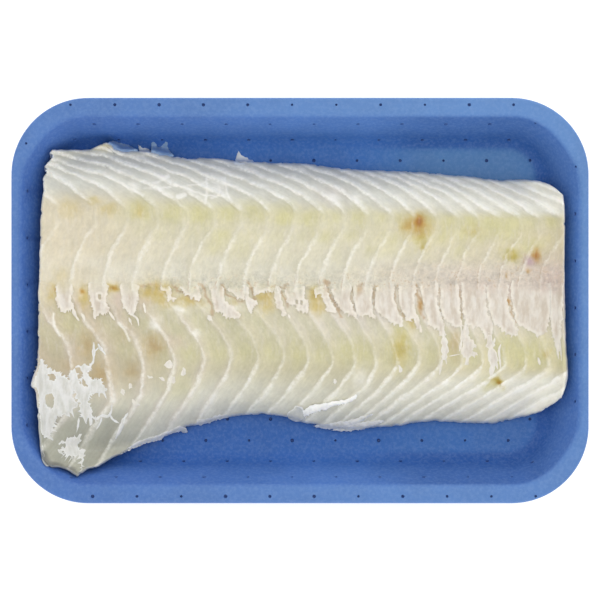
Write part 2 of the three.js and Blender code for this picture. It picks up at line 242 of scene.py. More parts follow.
# Torn tongues of the back half that hang over the front half
TONGUES = [
    [(-89, 8), (-83.2, 8), (-83.4, 0), (-82.6, -3.2), (-87.6, -3.2), (-88.6, -1)],
    [(-77.6, 8), (-70.6, 8), (-70.8, 0), (-69.8, -4), (-73, -5), (-75, -6.3), (-75.4, -4), (-76.6, 0)],
    [(-65.8, 8), (-60, 8), (-59.8, -3), (-61.5, -5.5), (-63.5, -4), (-65, -1)],
    [(-52.8, 8), (-47.5, 8), (-46.8, 1.5), (-45.2, 0.6), (-47.6, 0.2), (-49, 2.5)],
    [(-45.6, 8), (-37.4, 8), (-36.5, 3), (-36, 0.6), (-38.5, 0.8), (-41, 1.6), (-43.5, 4)],
    [
        (-34, 8), (-28.5, 8), (-27.2, 0), (-23.5, -3), (-21.8, -6.2), (-27, -6.2), (-28.2, -4.6),
        (-31, -4), (-32, 0),
    ],
    [(-26.8, 8), (-20.3, 8), (-20.2, 0.6), (-22.5, 1), (-24.5, 2.4), (-26.2, 3.5)],
    [(-20.4, 8), (-19.2, 8), (-18.6, 1.2), (-15.6, -0.6), (-17, -2.6), (-17.8, -4.6), (-19, -2), (-20, 2)],
    [(-16.8, 8), (-10.2, 8), (-10.2, 2.8), (-12, 3.3), (-14, 2.6), (-16.2, 1.8)],
    [(-9.9, 8), (-7.9, 8), (-7, 1), (-5.2, -5.4), (-7.4, -3.6), (-9, 0)],
    [
        (-5.8, 8), (0.8, 8), (1.8, 1), (3, -1), (2.8, -5), (1.6, -4.6), (0.4, -3.8), (-0.8, -4.3),
        (-1.8, -2.2), (-4.4, -1.2),
    ],
    [(5.2, 8), (9.3, 8), (10.4, 2), (12.8, -3.8), (10.6, -4.3), (8.8, 0), (7.9, 2.2), (5.5, 2)],
    [
        (10.9, 8), (18.2, 8), (18.5, 0), (20.3, -5), (21.2, -7.2), (18, -5.2), (15.4, -3.8), (13.8, -1.5),
        (12.2, 1.5),
    ],
    [
        (19.6, 8), (26, 8), (26.2, 1), (26.5, -3.5), (27.8, -7.3), (25.6, -5.8), (21.4, -5.6), (20.4, -3),
        (19.4, 3),
    ],
    [
        (27.9, 8), (34.2, 8), (34.4, 0), (36.2, -4.5), (37.6, -8.6), (33.8, -8.6), (31.6, -6.8),
        (29.6, -5.2), (27.9, -4),
    ],
    [
        (35.9, 8), (42.2, 8), (41.9, 0), (42.8, -5), (44.2, -10.8), (42.6, -9.6), (41.6, -6.2),
        (40, -7.8), (38.3, -5.5), (36.6, -3),
    ],
    [
        (43.4, 8), (50.3, 8), (50.2, 0), (51.2, -4.5), (52.2, -7), (53.2, -14), (51.5, -13),
        (50.2, -10.5), (48.2, -10), (46.8, -8), (46.2, -5), (44.8, 0.5),
    ],
    [
        (51.6, 8), (57.2, 8), (58.3, 2), (58.4, -3), (59.2, -9.5), (57.8, -9.8), (55.5, -8.6),
        (53.2, -7.4), (51.6, -4),
    ],
    [
        (59.2, 8), (66.9, 8), (68, -1), (68.8, -5), (70.2, -8), (70, -13), (68, -14), (66.5, -11),
        (64.5, -9.5), (62.5, -9.6), (60.6, -7.5), (59.5, -3),
    ],
    [
        (67.6, 8), (75.8, 8), (76, -2), (78.2, -7.5), (79.8, -11), (78, -13.2), (75.8, -12),
        (73.2, -10.2), (70.8, -8),
    ],
    [
        (77, 8), (90.5, 8), (91, -8), (88.8, -12.6), (85.6, -12.2), (82.5, -10.2), (80.2, -9.2),
        (78.4, -5),
    ],
    [(91, 8), (95.5, 8), (95.3, -10), (94.6, -20), (93.6, -17), (92.2, -12), (91.6, -6)],
    [
        (59.5, -9), (61.4, -9.4), (62.2, -13.5), (63.6, -15.2), (64.4, -17.2), (63.2, -18.4),
        (64.9, -19.9), (62.2, -20.9), (61.2, -25), (60.4, -21.6), (59.3, -19.8), (59.9, -15),
    ],
]
TONGUE_HOLES = [
    [(-1.7, 0.4), (-1.5, -1.2), (-0.9, -1.3), (-0.8, 0.2)],
    [(0.1, 0.2), (0.2, -1.4), (0.8, -1.6), (0.9, -0.2)],
    [(-73.7, 2.2), (-73.6, 0.6), (-72.8, 0.4), (-72.8, 2.2)],
]

# Loose white strands below the tongues: the points each runs through, and its width
STRANDS = [
    ([(-83.1, -2), (-82.2, -5), (-80.6, -7.4)], 1.1),
    ([(-79.8, -4.6), (-78.9, -6.2), (-78.6, -7.4)], 1.2),
    ([(-70, -3.6), (-67.6, -7.2)], 1.1),
    ([(-61.8, -5), (-59.5, -6.5), (-58.8, -9.2)], 0.8),
    ([(-62.5, -6.2), (-61.3, -9)], 0.7),
    ([(-57.1, -0.8), (-56.4, -4.5)], 0.8),
    ([(-8.2, 5), (-7.6, 1), (-6.1, -2.6)], 0.8),
    ([(-4.4, -4.8), (-3.6, -6.6)], 0.7),
    ([(-20, 2), (-19, -1.5), (-17.9, -4.8)], 0.9),
    ([(52.4, -12), (53, -17), (52.8, -21.8)], 3),
    ([(52.2, -21), (51.6, -24), (51.2, -27.2)], 0.9),
    ([(53.3, -21), (53.7, -23.4)], 0.6),
    ([(58.7, -8.5), (59.3, -13), (58.4, -18.6)], 1.2),
    ([(60.7, -7), (60.4, -13)], 1.1),
    ([(54.6, -20.4), (58.6, -19.6)], 0.5),
    ([(69, -11), (69.8, -17), (70.8, -22), (70, -27.6)], 2.9),
    ([(71.3, -13.6), (70.9, -16.2)], 0.8),
    ([(73.6, -15.8), (72.9, -18), (73.1, -21), (73.6, -25)], 0.9),
    ([(71.6, -21.6), (72.5, -25.2)], 0.8),
    ([(92.8, -11), (94.5, -21.5)], 0.8),
    ([(94.8, -13), (95.3, -22)], 0.5),
    ([(87.2, -20.8), (88, -23.6)], 0.8),
]

# White membrane left at the thick end, the holes in it and the threads beside it
MEMBRANES = [
    [
        (-96.3, -20.5), (-94.5, -20.8), (-92.5, -24), (-90.8, -25.5), (-88.5, -26), (-86.5, -27.5),
        (-85, -29.3), (-83.8, -26.2), (-82.3, -25.5), (-81.5, -27.5), (-80.3, -30.5), (-79.8, -27),
        (-80.5, -25), (-81, -23.5), (-78.5, -24), (-76.5, -23), (-77.5, -26), (-76.5, -28.3),
        (-74.5, -29), (-73, -27.8), (-72.5, -30), (-70.6, -33.5), (-73, -34.6), (-76, -34.8),
        (-77.3, -36.5), (-76.8, -39), (-76.2, -41.5), (-76.8, -43.5), (-78.5, -43.3), (-80.2, -43.5),
        (-80.6, -40.5), (-81.3, -37), (-82.5, -34.5), (-83.5, -33.5), (-83, -36), (-82, -38.5),
        (-82.2, -40), (-84, -41), (-86, -42), (-88, -43), (-89.5, -44.5), (-90.2, -46.5), (-91.5, -49.5),
        (-92.5, -50.5), (-94.4, -49.4), (-95.2, -40), (-96.2, -33), (-97.4, -31), (-96.6, -28),
    ],
    [
        (-81, -50), (-83.5, -50.2), (-86, -51.5), (-88, -52), (-88.3, -53), (-86.5, -53.5), (-88, -54.8),
        (-87, -56.5), (-85, -57.8), (-83.5, -58.5), (-83.3, -57), (-82, -57), (-80.5, -59), (-80, -62),
        (-79.3, -59), (-80.2, -56), (-81.8, -54.5), (-80.8, -52.5),
    ],
]
MEMBRANE_HOLES = [
    [(-92.8, -34.5), (-91, -34), (-90.2, -36), (-90.3, -39), (-91.5, -39.3), (-92.8, -37.5)],
    [(-92.2, -27.2), (-90.4, -26.8), (-89.1, -28.8), (-90.8, -29)],
    [(-79.6, -28.2), (-78.4, -30.2), (-77.6, -31.6), (-79.2, -30.8)],
]
THREADS = [
    ([(-77, -42), (-75, -43.5), (-73, -42.3), (-70.5, -42.5), (-69.3, -40.5), (-69, -38)], 0.9),
    ([(-70, -41), (-69, -43.5), (-66.5, -45.2)], 0.9),
    ([(-75.2, -42.5), (-75, -45)], 0.6),
    ([(-72.8, -43), (-73.5, -45), (-75, -47.5)], 0.9),
    ([(-63.2, -41.2), (-65, -44), (-66, -47), (-68, -51)], 1.2),
    ([(-81.2, -43), (-81.6, -46), (-82.2, -48.5)], 0.8),
    ([(-75.3, -15.2), (-75.4, -19), (-75.7, -22.5), (-77, -24)], 1),
    ([(-73.8, -15.8), (-72.6, -17.8), (-71, -19.8)], 1.2),
    ([(-75, -18.6), (-73.6, -17.2)], 0.7),
    ([(-95, -50), (-94, -54), (-93.2, -57)], 0.9),
    ([(-88.8, -54.6), (-86.6, -56.8)], 0.8),
]
# White threads that lie in the surface of the flesh
FLAT_THREADS = [
    ([(-50.9, 45.1), (-48.5, 45.7)], 1.7), ([(-53.7, 43.2), (-51.2, 44), (-48.9, 45.2)], 0.7),
    ([(-44.8, 38), (-42.4, 38.6)], 1.5), ([(-45.6, 42.8), (-39.1, 39.9), (-34.5, 38.6), (-29.6, 38.4)], 0.6),
    ([(-41.3, 42.1), (-36.2, 42.5), (-33.2, 44.6)], 0.6), ([(-34.4, 45), (-34.2, 40.5), (-34.4, 36.3)], 0.7),
    ([(-32.2, 43.6), (-29.9, 42.6), (-29.2, 40.4), (-30.2, 38.2), (-32.4, 37.6)], 0.6),
    ([(-57, 41.4), (-52, 41), (-47.6, 41.8)], 0.6), ([(-27.6, 45), (-27.2, 41), (-26, 37.6)], 0.7),
    ([(-90, -4.6), (-89.6, -9), (-87.6, -13)], 0.8), ([(-66.2, -8), (-64, -11), (-62.2, -14.4)], 0.9),
]
# Small bright flecks of flesh
FLECKS = [
    [(-49.6, -23.6), (-47.5, -21.9), (-46.7, -24.4), (-48.2, -24.8)],
    [(-43.5, -26.6), (-42.6, -24.4), (-41.6, -25.5), (-42.4, -27.3), (-43.5, -27.5)],
    [(-47, -28.2), (-46, -28), (-46.2, -30.2), (-46.9, -30)],
    [(-55.6, -27.6), (-54, -27.8), (-54.4, -28.6), (-55.4, -28.4)],
    [(-51.6, -28), (-50.2, -28.2), (-49.6, -29.4), (-51, -28.9)],
    [(-33.6, -5.4), (-32.2, -6), (-32, -7.6), (-33.4, -7)],
    [(12.6, -29), (13.2, -29.2), (13, -30.8), (12.5, -30.4)],
    [(36, -23.8), (36.7, -24), (37.2, -26.2), (36.4, -25.8)],
    [(20.6, -43.9), (22.4, -43.8), (22.8, -44.5), (21, -44.6)],
    [(-65.4, -32.4), (-64.4, -33), (-64.8, -34.6), (-65.6, -33.8)],
    [(-61.6, -36.2), (-60, -37), (-58.4, -38.8), (-60.2, -38.4), (-61.2, -37.8)],
    [(-62.6, -30.4), (-61.8, -30.6), (-62, -32), (-62.8, -31.6)],
]

# Fold and rolled lobe at the front edge, the folds on the lobe, and the fringes along that edge
FOLD = [
    (0.8, -40.7), (3.6, -39), (8, -37.9), (13.1, -37), (17.4, -36.2), (20.6, -34.8), (20.3, -36),
    (18.6, -37.2), (16, -38), (12.7, -38.8), (9.1, -40.1), (5.4, -41.2), (3, -42.3), (1.4, -42.5),
]
LOBE = [
    (-4.9, -42.4), (-3.9, -40.8), (-2.4, -40), (-1.6, -38.8), (0.6, -39.4), (1.8, -40.8), (2.4, -42.6),
    (1.4, -44.4), (-0.8, -45), (-3.4, -44.3),
]
LOBE_FOLDS = [
    ([(-1.5, -38.8), (0.6, -39.6), (1.6, -41.4), (3.6, -42.6)], 0.7),
    ([(-3.6, -43.6), (-1.2, -44.4), (1.2, -43.6)], 0.6),
]
FRINGES = [
    [(4.6, -46.6), (8.4, -47.6), (13, -47.6), (20, -45.8), (27, -41.8), (20, -43.8), (12, -45.4)],
    [(11.4, -48.2), (16, -48.6), (24, -47.4), (31, -44.4), (22, -45.2)],
    [(-38.4, -44.2), (-37.2, -46.2), (-35.8, -44.8), (-33.6, -45.6), (-32.4, -43.6)],
    [
        (-66, -56.6), (-60, -53.9), (-55, -52.3), (-51.3, -51.6), (-50.2, -50.2), (-47, -49.2),
        (-44.6, -48.6), (-42.2, -49.1), (-42.6, -47.4), (-44.5, -46.6), (-47, -47.4), (-53, -49.9),
        (-60, -52.2),
    ],
    [
        (-37.5, -46.4), (-34, -45.3), (-31.5, -44.4), (-29.6, -44.1), (-26.6, -43), (-29, -42.2),
        (-33, -43.4), (-37, -45),
    ],
]

# Scraps of thin film at the back edge, with how much of the tray's blue shows through each
SCRAPS = [
    ([(-71.5, 55), (-69.8, 59), (-66.6, 58.6), (-62.9, 57.3), (-60, 55.2), (-66, 54.6)], 0.95),
    ([(-60.4, 58), (-59.2, 57.2), (-55, 55.6), (-54, 54.6), (-58.6, 54.6)], 0.2),
    ([(-55, 55), (-54.6, 58.8), (-52.4, 57), (-49.8, 58.8), (-49, 56.2), (-46.8, 53.4), (-52, 53.6)], 1),
    ([(-23, 56), (-21.6, 54), (-17.4, 51.6), (-20, 50.4), (-23.8, 50.4)], 0.15),
    ([(-92, 52.6), (-91.8, 54.2), (-90.2, 53.4), (-90, 51.8)], 0.1),
    ([(-94.4, 48), (-93.8, 49.6), (-92.2, 48.8), (-92.4, 47)], 0.1),
]

# Brown slits between the tongues: the points each runs through, and its width
SLITS = [
    ([(-36.5, 6.4), (-34.4, 3.2), (-33, -1), (-31.6, -5)], 1.4),
    ([(-28.4, 6), (-26.8, 3), (-24.6, 1.4), (-22.4, 0.2), (-20.6, 0.2)], 1.3),
    ([(-19.3, 7), (-17.5, 2.4), (-16.4, 1)], 1.3),
    ([(-7.6, 5.6), (-4, 5.6)], 0.9),
    ([(-7.3, 5), (-6.6, 1), (-5, -2)], 1.2),
    ([(9.3, 7), (11, 2), (13, -2), (15, -6.6)], 1.3),
    ([(18.9, 4.4), (20.4, 4.5), (22.2, 5.8)], 1.1),
    ([(18.7, 4.6), (19, 0), (19.6, -3)], 0.9),
    ([(27.2, 6), (27, 0), (27.2, -3.4)], 0.9),
    ([(35.2, 5), (35, 0), (36, -3.6), (38.6, -6)], 1.1),
    ([(42.6, 5.6), (43, 2), (43.6, -1), (45, -5), (46.2, -7)], 1.7),
    ([(51.1, 4), (50.7, -1), (51.4, -3.6), (52.6, -6)], 1),
    ([(55.8, 5), (58, 3.6), (59, 0), (59.2, -6)], 1.1),
    ([(76.2, 0.6), (76.2, -1.8), (78, -5.4), (79.4, -8)], 1.1),
    ([(-46.5, 5.4), (-43.6, 3), (-41, 1), (-37, -0.4)], 1.2),
    ([(-59, 6), (-52.6, 5.6)], 0.8),
    ([(77.4, 10.2), (80.4, 13.4), (83, 17)], 0.7),
]
# Painted shade of the cut face that shows at the corner of the thick end, a grey band along that edge
SHADED_FACE = [([(-94.6, -56), (-92.4, -60), (-88, -61.2), (-84, -62.6), (-81.6, -64.4)], 4.4)]

# How far the edge of each kind of film is pushed in and out, how long its teeth are, and its first seed
TONGUE_TEAR = (0.3, 1.3, 100)
TONGUE_HOLE_TEAR = (0.05, 0, 190)
FLECK_TEAR = (0.25, 0.6, 250)
MEMBRANE_TEAR = (0.5, 3, 200)
MEMBRANE_HOLE_TEAR = (0.3, 0.6, 220)
FRINGE_TEAR = (0.25, 0.3, 280)
LOBE_TEAR = (0.1, 0.1, 275)
FOLD_TEAR = (0.25, 0.5, 270)
SCRAP_TEAR = (0.25, 0.5, 300)
STRAND_SEED = 150
THREAD_SEED = 230
LOBE_FOLD_SEED = 271

# How high each kind of film stands above the flesh
TONGUE_LIFT = 0.15
STRAND_LIFT = 0.22
THREAD_LIFT = 0.24
FRINGE_LIFT = 0.3
LOBE_LIFT = 0.4
LOBE_FOLD_LIFT = 0.75
FOLD_LIFT = 0.8
CLEAR_SCRAP_LIFT = 0.05
WHITE_SCRAP_LIFT = 0.2

# Stains and pale patches: place, half widths, and how strong
SPOT_REACH = 1.1
YELLOW_SPOTS = [
    (-58.3, 33, 5, 4, 0.8), (-46.7, 32, 4, 3, 0.8), (-37.2, 32, 4, 3, 0.8), (-26.2, 32, 4, 3, 0.7),
    (-17.5, 33.5, 4, 3, 0.7), (-5.5, 33, 5, 3, 0.5), (6, 31, 4, 3, 0.4), (22, 30, 3, 4, 0.5),
    (62, 25.7, 6, 3.5, 0.9), (75, 27, 8, 3.5, 0.9), (86, 20, 6, 3, 0.8), (77.3, 17.7, 3, 1.8, 1),
    (39.4, 27.9, 2.5, 1.6, 0.9), (44, 23, 4, 3, 0.6), (76, -17, 5, 5, 0.8), (84, -19, 7, 5, 0.9),
    (89, -16, 3, 5, 0.6), (70, -30.5, 4, 2.6, 0.7), (37, -15, 3, 8, 0.9), (20, -18, 6, 4, 0.5),
    (-84, -8, 4, 5, 0.5), (-1, -20, 2, 4, 0.4), (52, -14, 4, 4, 0.3), (-43.6, -32, 6, 4, 0.4),
]
GOLD_SPOTS = [
    (-53, 3.4, 5.4, 2.8, 1), (-50.5, 0.6, 4, 2.4, 0.6), (-12.6, 1.4, 3.2, 2.4, 1),
    (-12, -1.6, 3, 2.4, 0.6), (5.6, 1.8, 2.6, 2.6, 1), (6.2, -1.6, 3, 2.6, 0.7), (-41, -0.2, 5, 1.5, 0.7),
    (-68.4, 4.4, 1.9, 1.5, 1), (-90.2, 3, 1.6, 3.2, 0.7), (-78.6, 1.4, 1.8, 3.6, 0.7),
    (36.6, -18.4, 2.4, 5, 0.35), (41, -8, 1.6, 2.4, 0.6), (42.6, 27.6, 4.8, 3.4, 0.85),
    (73, -29.8, 2.2, 1.5, 0.5), (90, -19.6, 1.4, 1.4, 0.5), (-75.1, 36.6, 2.6, 1.2, 0.4),
    (-84, 34, 3.6, 3, 0.3), (-70.4, 33.2, 3, 1.8, 0.35), (-58.6, 32.4, 1.8, 2, 0.4),
    (-74, 57, 3, 1.2, 0.5), (-24, -1.6, 2, 2, 0.4), (63.3, 25.4, 2.4, 1.8, 0.4), (-87, 9.3, 3, 3, 0.25),
]
TAN_SPOTS = [
    (-53.2, -16.6, 3.2, 3.8, 0.95), (-77.4, -16.4, 2.8, 4.4, 0.8), (-73, -26.6, 3.4, 3.4, 0.9),
    (56.8, -15.6, 2, 4.4, 0.6), (-61.5, -25.6, 2.6, 3.2, 0.6), (-84.5, -24.2, 3, 2.4, 0.4),
    (-63.8, -12, 3, 3, 0.3),
]
OLIVE_SPOTS = [
    (37, -17, 2, 4, 0.25), (44.8, 20.2, 1.7, 1.8, 0.5), (77.6, 16.6, 2.4, 1.9, 0.6),
    (72.8, -30.3, 1.3, 0.9, 0.9), (44.6, 23.6, 1.6, 1.6, 0.35),
]
BROWN_SPOTS = [
    (43.7, 28.8, 1.9, 2, 1), (43.2, 26, 2.2, 2, 0.3), (39.5, 27.4, 2, 1.8, 0.3), (86.6, 16.6, 1.3, 2, 1),
    (83.7, 10.8, 0.6, 0.8, 0.5), (75.5, 9.3, 0.4, 0.8, 0.4), (72.8, -30.4, 0.6, 0.5, 0.6),
    (-89, 4, 0.8, 0.6, 0.6), (-79.5, 3.4, 1, 0.7, 0.6), (20.4, 4.6, 1, 0.5, 0.7),
    (76.2, -0.4, 0.6, 1, 0.7), (28.6, 4.6, 0.7, 0.7, 0.6), (-68.4, 4.6, 1.4, 0.7, 0.5),
    (44, -2, 0.9, 2, 0.5),
]
PINK_SPOTS = [
    (72, 3.4, 16, 3, 0.7), (92, 6, 6, 12, 0.6), (-66, 0, 3, 4, 0.5), (-80, -2, 3, 3, 0.5),
    (-45, -15, 4, 2, 0.3), (12, 39, 6, 3, 0.2), (-57, -0.6, 3, 3, 0.4),
]
MAUVE_SPOTS = [(84.3, 14.5, 1.9, 1.9, 1)]
WHITE_SPOTS = [
    (-53.2, -8.8, 1.5, 1.9, 0.8), (-43.6, -3.2, 2.2, 1.5, 0.8), (-38.2, -12, 1.8, 1, 0.6),
    (-24.6, -3.6, 3, 1.4, 0.7), (-51, 46, 2.4, 0.9, 0.7), (-61, 41.6, 2.6, 1, 0.7),
    (-29.6, 43, 2.8, 2.4, 0.5), (12.6, 37.6, 1.5, 2, 0.7), (20.6, 37, 1.6, 1.8, 0.7),
    (16, 48.2, 0.9, 0.5, 1), (-57.8, 53, 1.2, 1.6, 0.5), (22, -29, 3, 4, 0.5), (35, 45.6, 6, 1, 0.5),
    (-36.3, -36.3, 6, 5, 0.25),
]

# Pigments as the eye sees them on a level face (sRGB, 0 to 255), and how much the lights brighten them
DAYLIGHT = 1.26
CREAM = (222, 216, 190)
CREAM_TAIL = (220, 210, 178)
WARM_CREAM = (228, 216, 188)
PINK_CREAM = (222, 208, 190)
BACK_PALE = (233, 232, 219)
BACK_TAIL = (252, 250, 236)
BACK_MARGIN = (219, 219, 212)
FRONT_CREAM = (213, 206, 174)
FRONT_THICK = (202, 188, 160)
FRONT_TAIL = (228, 219, 184)
FRONT_PALE = (228, 225, 205)
FRONT_TAIL_PALE = (252, 249, 234)
FRONT_SHADE = (200, 197, 158)
THICK_GLOW = (222, 210, 198)
FRONT_MARGIN = (221, 220, 206)
SEAM_PALE = (226, 218, 202)
SEAM_WHITE = (230, 228, 217)
GREY_FLESH = (183, 183, 167)
CREST = (262, 260, 252)
SHADOW = (190, 184, 160)
TONGUE = (232, 225, 213)
TONGUE_RIM = (248, 241, 227)
TONGUE_SHADE = (211, 198, 180)
STRAND = (244, 239, 228)
STRAND_SHADE = (222, 213, 199)
MEMBRANE = (240, 239, 235)
MEMBRANE_RIM = (250, 249, 245)
MEMBRANE_SHADE = (219, 218, 209)
CLEAR_FILM = (122, 155, 200)
CLEAR_RIM = (158, 186, 216)
LOBE_GREY = (206, 208, 200)
FOLD_WHITE = (268, 266, 260)
FOLD_SHADE = (254, 253, 247)
YELLOW = (215, 209, 155)
GOLD = (207, 185, 112)
TAN = (192, 168, 120)
FACE_SHADE = (112, 112, 106)
OLIVE = (166, 140, 20)
BROWN = (172, 108, 0)
SLIT_BROWN = (194, 166, 130)
PINK = (213, 190, 179)
MAUVE = (196, 168, 170)
EDGE_FLESH = (220, 226, 234)
FOAM_BLUE = (98, 140, 198)
# Painted shade: the foam's walls, the foot of its walls and its floor are painted darker than its rim
FOAM_WALL_SHADE = (80, 125, 195)
FOAM_FOOT_SHADE = (62, 115, 192)
FOAM_FLOOR_SHADE = (63, 118, 192)
# Painted sheen: the lighter, greyer floor at the back of the tail end
FOAM_FLOOR_SHEEN = (84, 134, 190)
FOAM_GRAIN = (150, 180, 225)
FOAM_GAP_SHADOW = (36, 76, 150)
FOAM_PIT_SHADE = (42, 72, 140)
FLOOR_WHITE = (250, 250, 250)
FLOOR_SPECK = (248.75, 248.75, 248.75)
# Painted shade: how much darker the foam is painted at the thick end, along the front and on the
# walls of the tail end
THICK_END_PAINTED_SHADE = (0.76, 0.79, 0.9, 1)
FRONT_PAINTED_SHADE = (0.87, 0.9, 0.97, 1)
TAIL_WALL_PAINTED_SHADE = (0.62, 0.7, 0.78, 1)

# Materials: the part of a noise that varies a colour, how fibres and hairs are stretched, and how
# rough the surfaces are
NOISE_BAND = (0.3, 0.7)
ALONG_FIBRES = (1, 0.3, 1)
ALONG_HAIRS = (4, 1.6, 1)
FLESH_ROUGHNESS = (0.38, 0.52)
FOAM_ROUGHNESS = (0.5, 0.62)
FOAM_SHINE = 0.25
FLOOR_ROUGHNESS = 0.8
# How wet the flesh is, and how much light gets into it; a glow is how far in red, green and blue, as
# shares of a length in metres
COAT = 0.2
COAT_ROUGHNESS = 0.2
TRANSLUCENCY = 0.2
FLESH_GLOW = ((1, 0.75, 0.5), 0.0012)
FILM_GLOW = ((1, 0.8, 0.6), 0.001)
# Noises of the materials: scale, detail and roughness. The foam's beads have only a scale, and the
# streaks of the flesh are counted along a flake and across the fillet
MOTTLE_NOISE = (55, 4, 0.6)
GRAIN_NOISE = (900, 2, 0.6)
DENT_NOISE = (160, 3, 0.6)
FINE_NOISE = (800, 3, 0.6)
WIDE_NOISE = (110, 4, 0.6)
RAGGED_NOISE = (500, 3, 0.7)
BREAK_NOISE = (260, 2, 0.5)
FINE_BREAK_NOISE = (900, 3, 0.6)
STREAK_NOISE = (1, 4, 0.7)
HAIR_NOISE = (1, 3, 0.6)
BLOTCH_NOISE = (320, 3, 0.6)
FIBRE_NOISE = (700, 3, 0.6)
FILM_STREAK_NOISE = (500, 3, 0.6)
RIM_BREAK_NOISE = (420, 3, 0.6)
SPECK_NOISE = (30, 3, 0.5)
BEAD_SCALE = 420
STREAKS_PER_FLAKE = 9
STREAKS_ACROSS = 5
# Bumps of the materials: how far each stands out, in metres, and how strongly
BEAD_BUMP = (0.00006, 0.6)
DENT_BUMP = (0.0003, 0.5)
STREAK_BUMP = (0.0002, 0.5)
FIBRE_BUMP = (0.00015, 0.5)
WRINKLE_BUMP = (0.0012, 0.8)
FINE_BUMP = (0.0001, 0.4)
FILM_BUMP = (0.00012, 0.5)
# Where the foam's painted shade and painted sheen change: at what share of the tray's depth, and
# where along and across it in metres
BELOW_RIM = (0, 0.1)
LOWER_WALL = (0.45, 0.95)
ON_FLOOR = (0.94, 1)
TOP_OF_WALL = (0.02, 0.1)
TAIL_X = (0.015, 0.055)
END_WALL_AT = (0.085, 0.1)
THICK_END_X = (-0.11, 0.07)
BACK_Y = (-0.05, 0.04)
FRONT_Y = (-0.075, 0.05)
# How wide the bright rim of each kind of film is, in mm
TONGUE_RIM_WIDTH = 1.5
STRAND_RIM_WIDTH = 0.7
MEMBRANE_RIM_WIDTH = 0.6
LOBE_RIM_WIDTH = 0.5
FOLD_RIM_WIDTH = 0.6
SCRAP_RIM_WIDTH = 1.2

# Floor and lights: each lamp has its place, its size in metres and its power in watts
WHITE = (1, 1, 1, 1)
STAGE_HALF = 1500
STAGE_Z = -0.2
STAGE_GLOW = 0.45
LAMPS = {"key": ((0.45, 0.35, 1.6), 1.2, 9), "fill": ((-0.7, -0.4, 1.4), 1.6, 5)}
END_LIGHT = 0.6
SIDE_LIGHT = 1.35
HORIZON_LIGHT = 1.95
ZENITH_LIGHT = 0.55
ZENITH_FROM = 0.85


def ramp(x, low, high):
    t = np.clip((x - low) / (high - low), 0, 1)
    return t * t * (3 - 2 * t)


def fade(x, low, high):
    return 1 - ramp(x, low, high)


def bell(x, centre, width):
    return np.exp(-(((x - centre) / width) ** 2))


def lerp(a, b, t):
    return a + (b - a) * t


def scatter(angle):
    """A number from 0 to 1 that looks random and is the same each time for the same angle."""
    x = np.sin(angle) * SCATTER
    return x - np.floor(x)


def lattice(column, row, seed):
    return scatter(column * SCATTER_COLUMN + row * SCATTER_ROW + seed * SCATTER_SEED)


def noise(x, y, seed=0):
    """Smooth noise from -1 to 1 with cells of size one."""
    column, row = np.floor(x), np.floor(y)
    across, up = ramp(x - column, 0, 1), ramp(y - row, 0, 1)
    low = lerp(lattice(column, row, seed), lattice(column + 1, row, seed), across)
    high = lerp(lattice(column, row + 1, seed), lattice(column + 1, row + 1, seed), across)
    return 2 * lerp(low, high, up) - 1


def layered_noise(x, y, seed=0, layers=3):
    return sum(noise(x * 2**k, y * 2**k, seed + k) / 2**k for k in range(layers))


def hermite(a, b, slope_a, slope_b, t):
    cubic = 2 * a - 2 * b + slope_a + slope_b
    square = 3 * b - 3 * a - 2 * slope_a - slope_b
    return ((cubic * t + square) * t + slope_a) * t + a


def level_at(values, x):
    """The height at x of a smooth curve through values that stand LEVEL_PITCH apart."""
    values = np.array(values, float)
    slopes = np.gradient(values)
    slopes[0], slopes[-1] = (values[1] - values[0]) / 2, (values[-1] - values[-2]) / 2
    place = (np.asarray(x, float) - LEVEL_START) / LEVEL_PITCH
    i = np.clip(np.floor(place).astype(int), 0, len(values) - 2)
    t = place - i
    inside = hermite(values[i], values[i + 1], slopes[i], slopes[i + 1], np.clip(t, 0, 1))
    return inside + np.where(t < 0, slopes[i] * t, 0) + np.where(t > 1, slopes[i + 1] * (t - 1), 0)


def crosswise(x):
    return [
        level_at(BACK_EDGE, x) + EDGE_MARGIN,
        level_at(BACK_RIDGE, x),
        level_at(MIDLINE, x),
        level_at(FRONT_RIDGE, x),
        level_at(FRONT_EDGE, x) - EDGE_MARGIN,
    ]


def place_across(x, y):
    """2 at the back edge, 1 and -1 on the two ridge lines, 0 on the midline, -2 at the front edge."""
    lines = crosswise(x)
    across = np.full_like(y, 2.0)
    for high, low in zip(lines, lines[1:]):
        across -= np.clip((high - y) / (high - low), 0, 1)
    return across


def swing(share):
    """From 0 to 1 as the share does, fast at first and slow at the end."""
    return np.sin(math.pi / 2 * np.clip(share, 0, 1)) ** SWING_POWER


def past_ridge(distance):
    """Distance beyond a ridge line, with the bend at the line rounded off."""
    return np.hypot(np.maximum(distance, 0), TURN_RADIUS) - TURN_RADIUS


def flake_shift(x, y, across):
    """How far a flake's boundary lies along x from where it crosses the back ridge line."""
    up = past_ridge(y - level_at(BACK_RIDGE, x))
    down = past_ridge(level_at(FRONT_RIDGE, x) - y)
    slant = lerp(FRONT_SLANT_THICK_END, FRONT_SLANT_TAIL_END, ramp(x, -30, 80))
    back = -BACK_SLANT * up - BACK_SWEEP * up * up
    front_half = lerp(MID_SHIFT, FRONT_SHIFT, swing(-across))
    middle = np.where(across > 0, MID_SHIFT * swing(1 - across), front_half)
    return np.where(across > 1, back, np.where(across > -1, middle, FRONT_SHIFT - slant * down))


def flake_drift(x, across):
    rows = [np.interp(x, LEVEL_START + LEVEL_PITCH * np.arange(len(row)), row) for row in DRIFT]
    drift = rows[-1]
    for place, lower, row, below in zip(DRIFT_PLACES, DRIFT_PLACES[1:], rows, rows[1:]):
        between = (across <= place) & (across >= lower)
        drift = np.where(between, lerp(row, below, (place - across) / (place - lower)), drift)
    return drift


def flake_starts():
    starts = [FIRST_FLAKE_X]
    while starts[-1] < LAST_FLAKE_X:
        shrunk = LONGEST_FLAKE - FLAKE_SHRINK * (starts[-1] - FLAKE_SHRINK_FROM)
        starts.append(starts[-1] + max(shrunk, SHORTEST_FLAKE))
    return np.array(starts)


